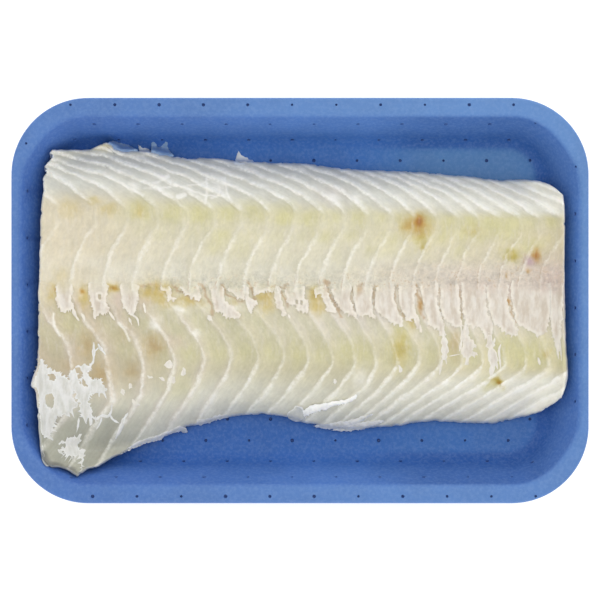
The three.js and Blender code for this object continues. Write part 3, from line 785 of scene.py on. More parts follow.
def flake_count(x, y, across):
    """The flakes from the thick end to a point, as a whole number and the part of the flake."""
    ridge_x = np.array(x, float)
    for _ in range(FLAKE_ROUNDS):
        ridge_x = x - flake_shift(ridge_x, y, across) - flake_drift(ridge_x, across)
    starts = flake_starts()
    return np.interp(ridge_x, starts, np.arange(len(starts)))


def inset_of(x, y):
    """Distance inwards from the outline of the tray's rim."""
    beyond_x = np.abs(x) - (TRAY_LENGTH / 2 - RIM_CORNER_RADIUS)
    beyond_y = np.abs(y) - (TRAY_WIDTH / 2 - RIM_CORNER_RADIUS)
    outside = np.hypot(np.maximum(beyond_x, 0), np.maximum(beyond_y, 0))
    return RIM_CORNER_RADIUS - outside - np.minimum(np.maximum(beyond_x, beyond_y), 0)


def crown_height(x, y, across):
    """Upper face of the fillet before its relief: a low crown that climbs the tray's walls."""
    roundness, bulge = CROWN_POWERS
    rounding = (1 - np.minimum(np.abs(across) / 2, 1) ** roundness) ** bulge
    groove = GROOVE_DEPTH * bell(across, 0, GROOVE_REACH)
    thickness = CROWN_THICKNESS - TAIL_THINNING * ramp(x, 0, 90)
    lying = FLOOR_Z + lerp(EDGE_THICKNESS, thickness, rounding) - groove
    rise = np.clip(DRAPE_INSET - inset_of(x, y), 0, HIGHEST_DRAPE)
    draped = DRAPE_HEIGHT + DRAPE_CURVE * rise * rise
    blend = np.log1p(np.exp(-np.abs(lying - draped) / DRAPE_BLEND))
    return np.maximum(lying, draped) + DRAPE_BLEND * blend


def rounded_profile(corners):
    """A polyline through (inset, z) corners, each rounded off with its own radius."""
    points = []
    for i, (inset, z, radius) in enumerate(corners):
        corner = np.array([inset, z], float)
        if not radius:
            points.append(corner)
            continue
        before, after = (np.array(corners[j][:2]) - corner for j in (i - 1, i + 1))
        start = corner + radius * before / np.linalg.norm(before)
        end = corner + radius * after / np.linalg.norm(after)
        for step in range(BEND_STEPS + 1):
            t = step / BEND_STEPS
            points.append((1 - t) ** 2 * start + 2 * t * (1 - t) * corner + t * t * end)
    return np.array(points)


TRAY_PROFILE = rounded_profile([
    (OUTER_WALL_FOOT_INSET + FLAT_BY_THE_FOOT, 0, 0),
    (OUTER_WALL_FOOT_INSET, 0, 5),
    (OUTER_WALL_TOP_INSET, RIM_LIP_Z, 1.6),
    (0, RIM_LIP_Z, 0.7),
    (0, TRAY_HEIGHT, 1.3),
    (WALL_TOP_INSET, TRAY_HEIGHT, 2.5),
    (WALL_FOOT_INSET, FLOOR_Z, 5.5),
    (WALL_FOOT_INSET + FLAT_BY_THE_FOOT, FLOOR_Z, 0),
])

CREST_INDEX = int(np.argmax(TRAY_PROFILE[:, 1]))


def skin_height(x, y, clearance=0.0):
    """Height of the tray's upper skin, or of a layer that keeps clear of its walls."""
    upper = TRAY_PROFILE[CREST_INDEX:]
    unmoved = np.array(x, float)
    for _ in range(WALL_ROUNDS):
        unmoved = unmoved + x - moved_end(unmoved, y, OTHER_WALL_X, END_WALL_X)
    return np.interp(inset_of(unmoved, y) - clearance, upper[:, 0], upper[:, 1])


def moved_end(x, y, old, new):
    """x moved as it is on the end walls, where old places along x lie at new ones."""
    return lerp(np.interp(x, old, new), x, ramp(np.abs(y), END_WALL_HALF, END_WALL_FADE))


def walked(points):
    """How far along a line of points each one lies."""
    return np.concatenate([[0], np.cumsum(np.linalg.norm(np.diff(points, axis=0), axis=1))])


def normals(tangents):
    """Unit vectors square to the given ones, on their right."""
    square = np.column_stack([tangents[:, 1], -tangents[:, 0]])
    return square / np.maximum(np.linalg.norm(square, axis=1), 1e-6)[:, None]


def smooth_curve(points, count):
    """Evenly spaced points on a centripetal Catmull-Rom curve through the given ones."""
    p = np.array(points, float)
    p = np.vstack([2 * p[0] - p[1], p, 2 * p[-1] - p[-2]])
    gaps = np.sqrt(np.linalg.norm(np.diff(p, axis=0), axis=1))
    t = np.linspace(0, 1, CURVE_STEPS, endpoint=False)[:, None]
    fine = []
    for i in range(1, len(p) - 2):
        a, b, c, d = p[i - 1 : i + 3]
        before, between, after = gaps[i - 1 : i + 2]
        slope_b = between * ((b - a) / before - (c - a) / (before + between)) + (c - b)
        slope_c = (c - b) + between * ((d - c) / after - (d - b) / (between + after))
        fine.append(hermite(b, c, slope_b, slope_c, t))
    fine = np.vstack(fine + [p[-2:-1]])
    along = walked(fine)
    even = np.linspace(0, along[-1], count + 1)
    return np.column_stack([np.interp(even, along, fine[:, k]) for k in (0, 1)])


def fillet_outline():
    sides = (BACK_SIDE, TAIL_SIDE, FRONT_SIDE, THICK_SIDE)
    points = np.vstack([smooth_curve(side, OUTLINE_STEPS)[:-1] for side in sides])
    return [tuple(point) for point in points]


FILLET_OUTLINE = fillet_outline()


def segment_distance(x, y, a, b):
    along = np.subtract(b, a)
    t = np.clip(((x - a[0]) * along[0] + (y - a[1]) * along[1]) / (along @ along + 1e-9), 0, 1)
    return np.hypot(x - a[0] - t * along[0], y - a[1] - t * along[1])


def inside_by(x, y, outline):
    """How far a point lies inside a closed outline; negative outside."""
    nearest = np.full_like(x, np.inf)
    inside = np.zeros(x.shape, bool)
    for a, b in zip(outline, outline[1:] + outline[:1]):
        nearest = np.minimum(nearest, segment_distance(x, y, a, b))
        if a[1] != b[1]:
            crossing = lerp(a[0], b[0], (y - a[1]) / (b[1] - a[1]))
            inside ^= ((a[1] > y) != (b[1] > y)) & (x < crossing)
    return np.where(inside, nearest, -nearest)


def strand_field(x, y, strands):
    """How far a point lies inside the nearest of some thin strands; negative outside."""
    field = np.full_like(x, -np.inf)
    for points, width in strands:
        for a, b in zip(points, points[1:]):
            field = np.maximum(field, width / 2 - segment_distance(x, y, a, b))
    return field


def spots(x, y, places):
    """How strongly soft round spots cover a point: each has its place, half widths and strength."""
    total = np.zeros_like(x)
    for centre_x, centre_y, half_x, half_y, amount in places:
        reach = np.hypot((x - centre_x) / half_x, (y - centre_y) / half_y)
        total = np.maximum(total, amount * bell(reach, 0, SPOT_REACH))
    return total


def nearest_among(points, others):
    """The number of the point among others that is nearest to each point, and how far it is."""
    tree = KDTree(len(others))
    for number, other in enumerate(others):
        tree.insert(other, number)
    tree.balance()
    return [tree.find(point)[1:] for point in points]


def pigment(colour):
    """The linear colour of a material that looks like an sRGB colour of 0 to 255 in this light."""
    share = np.asarray(colour, float) / 255
    plain = np.where(share <= 0.04045, share / 12.92, ((share + 0.055) / 1.055) ** 2.4)
    return plain / DAYLIGHT


def solid(colour):
    return (*pigment(colour), 1)


class Shader:
    """The node tree of a material or a world, with a short call for each kind of node."""

    def __init__(self, owner):
        owner.use_nodes = True
        self.owner = owner
        self.nodes = owner.node_tree.nodes
        self.links = owner.node_tree.links

    def put(self, socket, value):
        if isinstance(value, bpy.types.NodeSocket):
            self.links.new(value, socket)
        else:
            socket.default_value = value

    def node(self, kind, inputs, output=0, **settings):
        """An output of a new node. Its inputs, by name or number, each get a value or an output."""
        node = self.nodes.new("ShaderNode" + kind)
        for name, setting in settings.items():
            setattr(node, name, setting)
        for key, value in inputs.items():
            self.put(node.inputs[key], value)
        return node.outputs[output]

    def attribute(self, name, output="Fac"):
        return self.node("Attribute", {}, output, attribute_name=name)

    def place(self):
        return self.node("TexCoord", {}, "Object")

    def math(self, operation, *values):
        return self.node("Math", dict(enumerate(values)), operation=operation)

    def times(self, value, *others):
        for other in others:
            value = self.math("MULTIPLY", value, other)
        return value

    def scaled(self, colour, amount):
        return self.node("VectorMath", {0: colour, "Scale": amount}, operation="SCALE")

    def varied(self, colour, pattern, darkest, brightest):
        return self.scaled(colour, self.ramp(pattern, *NOISE_BAND, darkest, brightest))

    def part(self, vector, axis):
        return self.node("SeparateXYZ", {0: vector}, axis)

    def stretched(self, vector, scale):
        return self.node("Mapping", {"Vector": vector, "Scale": scale})

    def noise(self, vector, scale, detail, roughness):
        inputs = {"Vector": vector, "Scale": scale, "Detail": detail, "Roughness": roughness}
        return self.node("TexNoise", inputs, "Fac")

    def ramp(self, value, low, high, to_low=0, to_high=1, kind="SMOOTHSTEP"):
        values = (value, low, high, to_low, to_high)
        return self.node("MapRange", dict(enumerate(values)), interpolation_type=kind)

    def fade(self, value, low, high):
        return self.ramp(value, low, high, 1, 0)

    def mix(self, amount, a, b, blend="MIX"):
        return self.node("Mix", {0: amount, 6: a, 7: b}, 2, data_type="RGBA", blend_type=blend)

    def bumps(self, *layers):
        """The normal of a surface with several bumps, each with its height, distance and strength."""
        below = {}
        for height, distance, strength in layers:
            inputs = {"Height": height, "Distance": distance, "Strength": strength}
            below = {"Normal": self.node("Bump", inputs | below)}
        return below["Normal"]

    def finish(self, **values):
        for name, value in values.items():
            self.put(self.nodes["Principled BSDF"].inputs[name.replace("_", " ")], value)
        return self.owner


def shader_of(name):
    return Shader(bpy.data.materials.new(name))


def make_piece(name, vertices, faces, material, attributes=None):
    mesh = bpy.data.meshes.new(name)
    mesh.from_pydata((np.asarray(vertices) * MM).tolist(), [], faces)
    mesh.shade_smooth()
    for key, values in (attributes or {}).items():
        add_attribute(mesh, key, values)
    mesh.materials.append(material)
    piece = bpy.data.objects.new(name, mesh)
    bpy.context.scene.collection.objects.link(piece)
    return piece


def add_attribute(mesh, name, values):
    """Gives each vertex a number, or a colour where values has three columns."""
    kind, key = "FLOAT", "value"
    if np.ndim(values) == 2:
        kind, key = "FLOAT_COLOR", "color"
        values = np.column_stack([values, np.ones(len(values))])
    layer = mesh.attributes.new(name, kind, "POINT")
    layer.data.foreach_set(key, np.asarray(values, np.float32).ravel())


def inset_ring(inset):
    """Points of a rounded rectangle that lies inset from the rim's outline."""
    radius = max(RIM_CORNER_RADIUS - inset, SMALLEST_CORNER)
    half = np.array([TRAY_LENGTH, TRAY_WIDTH]) / 2 - inset - radius
    corners = []
    for number, side in enumerate([(1, 1), (-1, 1), (-1, -1), (1, -1)]):
        angles = math.pi / 2 * (number + np.linspace(0, 1, CORNER_STEPS + 1))
        corners.append(side * half + radius * np.column_stack([np.cos(angles), np.sin(angles)]))
    ring = []
    for number, corner in enumerate(corners):
        steps = round((TRAY_WIDTH if number % 2 else TRAY_LENGTH) / SIDE_STEP)
        t = np.linspace(0, 1, steps + 1)[1:-1, None]
        ring += [corner, lerp(corner[-1], corners[(number + 1) % 4][0], t)]
    return np.vstack(ring)


def quads(*corners):
    """Faces from four arrays of vertex numbers, one array for each corner."""
    return np.stack([corner.ravel() for corner in corners], axis=1).tolist()


def shifted(faces, start):
    return [[start + number for number in face] for face in faces]


def tray_body(material):
    rings = [inset_ring(inset) for inset, _ in TRAY_PROFILE]
    for ring in rings[CREST_INDEX:]:
        ring[:, 0] = moved_end(ring[:, 0], ring[:, 1], OTHER_WALL_X, END_WALL_X)
    count = len(rings[0])
    heights = np.repeat(TRAY_PROFILE[:, 1], count)
    side = np.arange(count)
    after = (side + 1) % count
    faces = []
    for start in range(0, (len(rings) - 1) * count, count):
        faces += quads(start + side, start + after, start + count + after, start + count + side)
    faces += [side[::-1].tolist(), ((len(rings) - 1) * count + side).tolist()]
    return make_piece("foam_tray", np.column_stack([np.vstack(rings), heights]), faces, material)


def hole_places():
    wall_rows = [TRAY_WIDTH / 2 - inset for inset in WALL_ROW_INSETS]
    reach = TRAY_WIDTH / 2 - FLOOR_ROW_INSET
    rows = wall_rows + list(np.linspace(reach, -reach, FLOOR_ROWS)) + [-y for y in reversed(wall_rows)]
    columns = int(ROW_REACH / HOLE_PITCH)
    places = []
    for row, y in enumerate(rows):
        first = HOLE_ROW_START + row % 2 * HOLE_PITCH / 2
        places += [(first + column * HOLE_PITCH, y) for column in range(-columns, columns + 1)]
    for x, y, holes in END_COLUMNS:
        places += [(x, y - hole * END_COLUMN_PITCH) for hole in range(holes)]
    places = np.array(places)
    clear = inset_of(*places.T) > HOLE_EDGE_MARGIN
    clear &= inside_by(*places.T, FILLET_OUTLINE) < 0
    return places[clear]


def pegs(places):
    """A tapered peg at each place, square to the tray's skin, to cut the pin holes with."""
    angles = np.linspace(0, 2 * math.pi, HOLE_SIDES, endpoint=False)
    circle = np.column_stack([np.cos(angles), np.sin(angles), 0 * angles])
    side = np.arange(HOLE_SIDES)
    after = (side + 1) % HOLE_SIDES
    peg = [side.tolist(), (2 * HOLE_SIDES + side)[::-1].tolist()]
    for start in (HOLE_SIDES, 0):
        peg = quads(start + after, start + side, start + HOLE_SIDES + side, start + HOLE_SIDES + after) + peg
    vertices, faces = [], []
    for number, (x, y) in enumerate(places):
        slope_x = skin_height(x + SKIN_PROBE, y) - skin_height(x - SKIN_PROBE, y)
        slope_y = skin_height(x, y + SKIN_PROBE) - skin_height(x, y - SKIN_PROBE)
        upright = Vector((-slope_x / (2 * SKIN_PROBE), -slope_y / (2 * SKIN_PROBE), 1))
        turn = np.array(upright.to_track_quat("Z", "Y").to_matrix())
        wide = HOLE_RADIUS * lerp(*HOLE_SIZES, scatter(number * SCATTER_COLUMN + 3.7))
        for radius, height in PEG_RINGS:
            ring = radius * wide * circle + (0, 0, height)
            vertices.append(ring @ turn.T + (x, y, skin_height(x, y)))
        faces += shifted(peg, len(PEG_RINGS) * HOLE_SIDES * number)
    return np.vstack(vertices), faces


def pierce(tray, material):
    """Cuts the pin holes into the tray."""
    vertices, faces = pegs(hole_places())
    cutter = make_piece("pin_pegs", vertices, faces, material)
    cut = tray.modifiers.new("pin_holes", "BOOLEAN")
    cut.object = cutter
    cut.operation = "DIFFERENCE"
    cut.solver = "MANIFOLD"
    bpy.context.view_layer.update()
    result = bpy.data.meshes.new_from_object(tray.evaluated_get(bpy.context.evaluated_depsgraph_get()))
    tray.modifiers.clear()
    tray.data = result
    bpy.data.objects.remove(cutter)
    tray.data.shade_smooth()
    tray.data.set_sharp_from_angle(angle=math.radians(TRAY_SHARP_ANGLE))
    mark_foam(result, vertices)


def mark_foam(mesh, peg_points):
    """Tells the tray's shader how deep each point lies in the tray, which sets the painted shade of
    its walls and floor, how deep in a pin hole, which sets the painted shade in the holes, and
    whether it lies in the narrow gap beside an end of the fillet, where a shadow is painted."""
    place = np.zeros(3 * len(mesh.vertices))
    mesh.vertices.foreach_get("co", place)
    place = place.reshape(-1, 3) / MM
    x, y, z = place.T
    upper_skin = np.abs(z - skin_height(x, y)) < SKIN_TOLERANCE
    add_attribute(mesh, "recess", upper_skin * (TRAY_HEIGHT - z) / (TRAY_HEIGHT - FLOOR_Z))
    # The ring of the peg that cut each point, for the painted shade inside the pin holes
    found = nearest_among(place, peg_points)
    rings = [number // HOLE_SIDES % len(PEG_RINGS) * (distance < SAME_POINT) for number, distance in found]
    add_attribute(mesh, "pit_shade", np.array(rings) / (len(PEG_RINGS) - 1))
    # Where the shadow in the gap beside the fillet's ends is painted
    beside_ends = np.maximum(ramp(-x, *GAP_X), GAP_AT_TAIL * ramp(x, *GAP_X)) * fade(z, *GAP_Z)
    add_attribute(mesh, "gap", upper_skin * beside_ends * fade(np.abs(y), *GAP_Y))


def patch_grid(back, tail, front, thick):
    """A grid of points between four sides, as [column, row], the first row along the back."""
    s = np.linspace(0, 1, GRID_COLUMNS + 1)[:, None, None]
    t = np.linspace(0, 1, GRID_ROWS + 1)[None, :, None]
    between_long_sides = lerp(back[:, None], front[:, None], t)
    between_ends = lerp(thick[None, :], tail[None, :], s)
    corners = lerp(lerp(back[0], back[-1], s), lerp(front[0], front[-1], s), t)
    return between_long_sides + between_ends - corners


def grid_sides(grid):
    """The four sides of a grid, one after another around it."""
    return [grid[:, 0], grid[-1], grid[::-1, -1], grid[0, ::-1]]


def frayed(grid):
    """Roughens the outline of the grid, less so the further in."""
    moved = grid.copy()
    centre = grid.mean(axis=(0, 1))
    sides = [
        (grid[:, 0], BACK_FRAY, True), (grid[-1], TAIL_FRAY, False),
        (grid[:, -1], FRONT_FRAY, True), (grid[0], THICK_FRAY, False),
    ]
    for number, (side, amount, lengthwise) in enumerate(sides):
        along = walked(side)
        outwards = normals(np.gradient(side, axis=0))
        outwards *= np.sign(np.sum((side - centre) * outwards, axis=1))[:, None]
        rough = amount * layered_noise(along / FRAY_LENGTH, along * 0, 11 + number, 3)
        rough -= NICK_DEPTH * ramp(noise(along / NICK_LENGTH, along * 0, 15 + number), 0.55, 0.95)
        rough *= np.sin(math.pi * np.clip(along / along[-1], 0, 1)) ** 0.2
        push = outwards * rough[:, None]
        facing, shift = (side[:, None], push[:, None]) if lengthwise else (side[None], push[None])
        depth = np.linalg.norm(grid - facing, axis=2)
        moved += shift * fade(depth, 0, FRAY_REACH)[..., None]
    return moved


def edge_distance(grid):
    """Distance of each point of the grid from the fillet's outline."""
    rim = np.vstack(grid_sides(grid))
    level = [np.column_stack([points, np.zeros(len(points))]) for points in (grid.reshape(-1, 2), rim)]
    return np.array([distance for _, distance in nearest_among(*level)]).reshape(grid.shape[:2])


def flakes(x, y, across):
    """The flakes up to a point, with wandering boundaries, and the width of a flake there."""
    beside = [(x + SLOPE_REACH, y), (x - SLOPE_REACH, y), (x, y + SLOPE_REACH), (x, y - SLOPE_REACH)]
    right, left, above, below = (flake_count(*place, place_across(*place)) for place in beside)
    width = 2 * SLOPE_REACH / np.maximum(np.hypot(right - left, above - below), 0.05)
    wander = 0.5 * noise(x / 6, y / 6, 51) + 0.16 * noise(x / 1.8, y / 1.8, 52)
    return flake_count(x, y, across) + wander / width, width


def relief(x, y, across, count, width):
    """What the lapped flakes and the fibres add to the crown. Each flake lies over the one to its left."""
    part = count - np.floor(count)
    outer = ramp(np.abs(across), 0.9, 1.2)
    saw = np.maximum(1 - part, ramp((part - 1) * width / LAP_RISE + 1, 0, 1))
    lap = lerp(np.where(across > 0, BACK_LAP, FRONT_LAP), OUTER_LAP, outer)
    flatter = lerp(1, 0.5, ramp(-x, 30, 70) * (across > 0))
    lap *= ramp(crest_strength(x, across, count), 0.05, 0.4) * flatter
    height = lap * fade(np.abs(across), 1.5, 1.97) * (saw - 0.5)
    offset = np.where(part < 0.5, part, part - 1) * width
    height += CREST_HEIGHT * outer * bell(offset, 0.35, 0.5)
    height += THREAD_HEIGHT * ramp(strand_field(x, y, FLAT_THREADS), -0.2, 0.3)
    height += FIBRE_HEIGHT * noise(x / 0.7, y / 7, 41) * (1 - outer)
    height += SWELL_HEIGHT * layered_noise(x / 14, y / 11, 42, 2)
    return height + PIT_HEIGHT * layered_noise(x / 2, y / 2, 43, 2)


def seam_line(x):
    return level_at(MIDLINE, x) + SEAM_ABOVE_MIDLINE + SEAM_WANDER * layered_noise(x / 2.6, x * 0, 23, 3)


def upper_face(x, y, edge):
    """Height of the fillet's upper face at points some way from its edge, before the seam's step
    down, then that step, and the place across, flake count and flake width of each point."""
    across = place_across(x, y)
    count, width = flakes(x, y, across)
    z = crown_height(x, y, across) + relief(x, y, across, count, width)
    z += THICK_END_RISE * ramp(-x, 82, 94)
    z -= EDGE_ROUND - np.sqrt(np.maximum(EDGE_ROUND**2 - np.maximum(EDGE_ROUND - edge, 0) ** 2, 0))
    torn = fade(y - seam_line(x), -0.4, 0.4)
    step = SEAM_DROP * torn * fade(-across, 0.3, 0.95) * lerp(1, 0.5, ramp(x, 30, 70))
    return z, step, across, count, width


def painted(tint, layers):
    """sRGB tints after colours have been laid over them in turn, each by its amount from 0 to 1."""
    for colour, amount in layers:
        tint = tint + (np.array(colour, float) - tint) * amount[..., None]
    return tint


def flesh_tint(x, y, across, count):
    """What the flesh looks like at each point, as sRGB colours."""
    part = count - np.floor(count)
    tail = ramp(x, 10, 85)
    thick = ramp(-x, 35, 85)
    back, front = np.maximum(across, 0), np.maximum(-across, 0)
    shift_x = x + 0.9 * layered_noise(x / 2.2, y / 2.2, 61, 3)
    shift_y = y + 0.9 * layered_noise(x / 2.2, y / 2.2, 71, 3)

    tint = painted(np.zeros(x.shape + (3,)), [
        (CREAM, np.ones_like(x)),
        (WARM_CREAM, 0.8 * thick),
        (CREAM_TAIL, tail * fade(back, 0.75, 1.1)),
        (PINK_CREAM, ramp(x, 5, 60) * fade(back, 0.2, 0.5)),
        (BACK_PALE, ramp(back, 0.95, 1.4)),
        (BACK_TAIL, ramp(back, 1, 1.35) * tail),
        (BACK_MARGIN, ramp(back, 1.45, 1.9) * (1 - tail)),
        (GREY_FLESH, 0.4 * ramp(back, 1.6, 1.95) * thick),
        (FRONT_CREAM, ramp(front, 0.1, 0.5)),
        (FRONT_THICK, ramp(front, 0.05, 0.5) * thick),
        (FRONT_TAIL, ramp(front, 0.1, 0.5) * tail),
        (SEAM_PALE, ramp(x, -25, 15) * bell(across, -0.35, 0.35)),
        (FRONT_PALE, ramp(front, 1.1, 1.55)),
        (FRONT_TAIL_PALE, ramp(front, 1, 1.4) * tail),
        (FRONT_MARGIN, ramp(front, 1.5, 1.9) * (1 - tail)),
        (GREY_FLESH, ramp(-x, 48, 72) * ramp(-y, 34, 46)),
    ])
    between = ramp(part, 0.2, 0.6) * fade(part, 0.85, 1)
    glow = np.exp(-((np.where(part < 0.5, part, part - 1) * 5) ** 2)) * thick_end_share(across, count)
    tint = painted(tint, [
        (THICK_GLOW, 0.5 * glow * ramp(y, -52, -40)),
        (FRONT_SHADE, 0.45 * between * ramp(front, 0.15, 0.4) * fade(front, 0.9, 1.2)),
    ])
    tint *= (1 - 0.035 * between * ramp(np.abs(across), 0.9, 1.3))[..., None]

    patch = 0.7 - 0.3 * np.cos(2 * math.pi * (part - 0.05))
    bands = 0.6 * bell(across, 0.97, 0.12) + 0.3 * bell(across, 0.72, 0.1)
    bands += 0.4 * bell(across, -0.92, 0.16)
    blotches = ramp(noise(x / 6.5, y / 6, 66), 0, 0.7) * ramp(across, 0.3, 0.55)
    bands += 0.45 * blotches * fade(across, 0.9, 1.1)
    above = y - level_at(MIDLINE, x)
    pale = ramp(above, 0, 4) * fade(above, 8, 16) * (0.6 + 0.4 * noise(x / 5, y / 5, 67))
    near_x, near_y = lerp(x, shift_x, 0.4), lerp(y, shift_y, 0.4)
    threads = ramp(strand_field(lerp(x, shift_x, 0.3), lerp(y, shift_y, 0.3), FLAT_THREADS), -0.3, 0.3)
    return painted(tint, [
        (YELLOW, bands * patch * ramp(x, -85, -30)),
        (SEAM_WHITE, pale * lerp(0.5, 0.3, ramp(x, 20, 60))),
        (YELLOW, spots(shift_x, shift_y, YELLOW_SPOTS)),
        (PINK, spots(shift_x, shift_y, PINK_SPOTS)),
        (GOLD, np.minimum(1.3 * spots(shift_x, shift_y, GOLD_SPOTS), 1)),
        (TAN, spots(shift_x, shift_y, TAN_SPOTS)),
        (OLIVE, spots(shift_x, shift_y, OLIVE_SPOTS)),
        (SLIT_BROWN, 0.8 * ramp(strand_field(shift_x, shift_y, SLITS), -0.2, 0.6)),
        (BROWN, spots(near_x, near_y, BROWN_SPOTS)),
        (MAUVE, spots(near_x, near_y, MAUVE_SPOTS)),
        (FACE_SHADE, 0.75 * ramp(strand_field(near_x, near_y, SHADED_FACE), -0.2, 0.9)),
        (CREST, np.maximum(0.75 * threads, spots(shift_x, shift_y, WHITE_SPOTS))),
    ])


def crest_strength(x, across, count):
    """How white the line along a flake's upper edge is."""
    strength = np.interp(across, CREST_PLACES, CREST_STRENGTHS)
    tail = ramp(x, 10, 60)
    inner = np.where(across < 0, 0.75, lerp(1, 0.75, tail))
    strength *= np.where(np.abs(across) < 0.9, inner, np.where(across < 0, lerp(0.7, 1, tail), 0.85))
    return np.maximum(strength, 0.4 * thick_end_share(across, count))


def thick_end_share(across, count):
    """How much a point belongs to the wide flakes at the thick end of the front half."""
    return fade(count, 5, 7.5) * ramp(-across, 0.2, 0.5)


def skin_values(x, y, across, count, width):
    """What the flesh's shader needs to know of each point, apart from its tint."""
    outer = ramp(np.abs(across), 0.85, 1.2)
    tail = ramp(x, 10, 60)
    reach = lerp(np.where(across > 0, lerp(1.05, 0.6, tail), 0.75), lerp(1.15, 1.2, tail), outer)
    reach = np.maximum(reach, 0.85 * thick_end_share(across, count))
    above = y - seam_line(x)
    near_seam = ramp(above, -4, 0) * fade(above, 1, lerp(10, 18, tail)) * ramp(x, -85, -40)
    return {
        "flake": count,
        "flake_width": width,
        "across": across,
        "crest": crest_strength(x, across, count),
        "reach": reach * (1 + 0.45 * noise(x / 6, y / 4, 95)),
        "inner": 1 - outer,
        "near_seam": near_seam,
    }


def fillet_surface():
    """Points of the fillet's upper face, and what its skin is like at each."""
    back = smooth_curve(BACK_SIDE, GRID_COLUMNS)
    tail = smooth_curve(TAIL_SIDE, GRID_ROWS)
    front = smooth_curve(FRONT_SIDE, GRID_COLUMNS)[::-1]
    thick = smooth_curve(THICK_SIDE, GRID_ROWS)[::-1]
    grid = frayed(patch_grid(back, tail, front, thick))
    x, y = grid[..., 0], grid[..., 1]
    edge = edge_distance(grid)
    z, step, across, count, width = upper_face(x, y, edge)
    tint = flesh_tint(x, y, across, count)
    tint = painted(tint, [(EDGE_FLESH, 0.6 * fade(edge, 0.1, 0.7))])
    return x, y, z - step, {"tint": pigment(tint)} | skin_values(x, y, across, count, width)


def underside_height(x, y):
    return skin_height(x, y, REST_GAP) + REST_GAP


def zip_chains(outer, inner):
    """Triangles between two chains of points that run side by side."""
    triangles = []
    a = b = 0
    while a + 1 < len(outer) or b + 1 < len(inner):
        behind = a + 1 < len(outer) and (a + 1) / len(outer) <= (b + 1) / len(inner)
        if behind or b + 1 == len(inner):
            triangles.append([outer[a], outer[a + 1], inner[b]])
            a += 1
        else:
            triangles.append([outer[a], inner[b + 1], inner[b]])
            b += 1
    return triangles


def fillet_body(material):
    x, y, z, skin = fillet_surface()
    number = np.arange(x.size).reshape(x.shape)
    vertices = [np.column_stack([x.ravel(), y.ravel(), z.ravel()])]
    source = [number.ravel()]
    faces = quads(number[:-1, :-1], number[:-1, 1:], number[1:, 1:], number[1:, :-1])

    sides = grid_sides(number)
    loop = np.concatenate([side[:-1] for side in sides])
    rim = vertices[0][loop]
    outwards = normals(np.roll(rim, RIM_SMOOTHING, axis=0) - np.roll(rim, -RIM_SMOOTHING, axis=0))
    lowest = x.size
    above = loop
    for push, share in RIM_RINGS:
        ring = rim[:, :2] + push * outwards
        floor = underside_height(*ring.T)
        vertices.append(np.column_stack([ring, np.maximum(lerp(floor, rim[:, 2], share), floor)]))
        source.append(loop)
        below = lowest + np.arange(len(loop))
        lowest += len(loop)
        faces += quads(above, np.roll(above, -1), np.roll(below, -1), below)
        above = below

    inner = number[UNDERSIDE_STRIDE:-1:UNDERSIDE_STRIDE, UNDERSIDE_STRIDE:-1:UNDERSIDE_STRIDE]
    under_x, under_y = x.ravel()[inner.ravel()], y.ravel()[inner.ravel()]
    vertices.append(np.column_stack([under_x, under_y, underside_height(under_x, under_y)]))
    source.append(inner.ravel())
    under = lowest + np.arange(inner.size).reshape(inner.shape)
    faces += quads(under[:-1, :-1], under[1:, :-1], under[1:, 1:], under[:-1, 1:])
    start = 0
    for side, inner_side in zip(sides, grid_sides(under)):
        stretch = [int(above[(start + i) % len(above)]) for i in range(len(side))]
        faces += zip_chains(stretch, inner_side.tolist())
        start += len(side) - 1
    source = np.concatenate(source)
    attributes = {key: values.reshape(x.size, *values.shape[2:])[source] for key, values in skin.items()}
    return make_piece("fish_fillet", np.vstack(vertices), faces, material, attributes)


def ribbon(points, width, seed):
    """Outline of a strand that runs through the points and tapers at its ends."""
    length = sum(math.dist(a, b) for a, b in zip(points, points[1:]))
    count = max(round(length / FILM_STEP), 4)
    line = smooth_curve(points, count)
    t = np.linspace(0, 1, count + 1)
    side = normals(np.gradient(line, axis=0))
    swell = 1 + 0.45 * noise(t * length / 1.1, t * 0, seed)
    half = (width / 2 * swell * np.sin(math.pi * (0.03 + 0.94 * t)) ** 0.7)[:, None]
    return np.vstack([line - half * side, (line + half * side)[::-1]])


def torn_outline(outline, amount, teeth, seed):
    """Evenly spaced points along a closed outline, pushed in and out so that it looks torn, and
    drawn out into short teeth, longer ones along the front."""
    closed = np.array(outline + outline[:1], float)
    even = smooth_curve(closed, max(round(walked(closed)[-1] / FILM_STEP), 12))[:-1]
    x, y = even.T
    turning = np.sign(np.sum(x * np.roll(y, -1) - np.roll(x, -1) * y))
    outwards = turning * normals(np.roll(even, -1, axis=0) - np.roll(even, 1, axis=0))
    push = amount * (0.4 + noise(x / 0.9, y / 1.6, seed) + 0.6 * noise(x / 0.45, y / 0.9, seed + 1))
    along = FILM_STEP * np.arange(len(even))
    spike = np.maximum(1 - 2.6 * np.abs(noise(along / TOOTH_PITCH, along * 0, seed + 2)), 0)
    push += teeth * (spike - 0.3) * (0.35 + 0.65 * np.maximum(-outwards[:, 1], 0))
    return even + push[:, None] * outwards


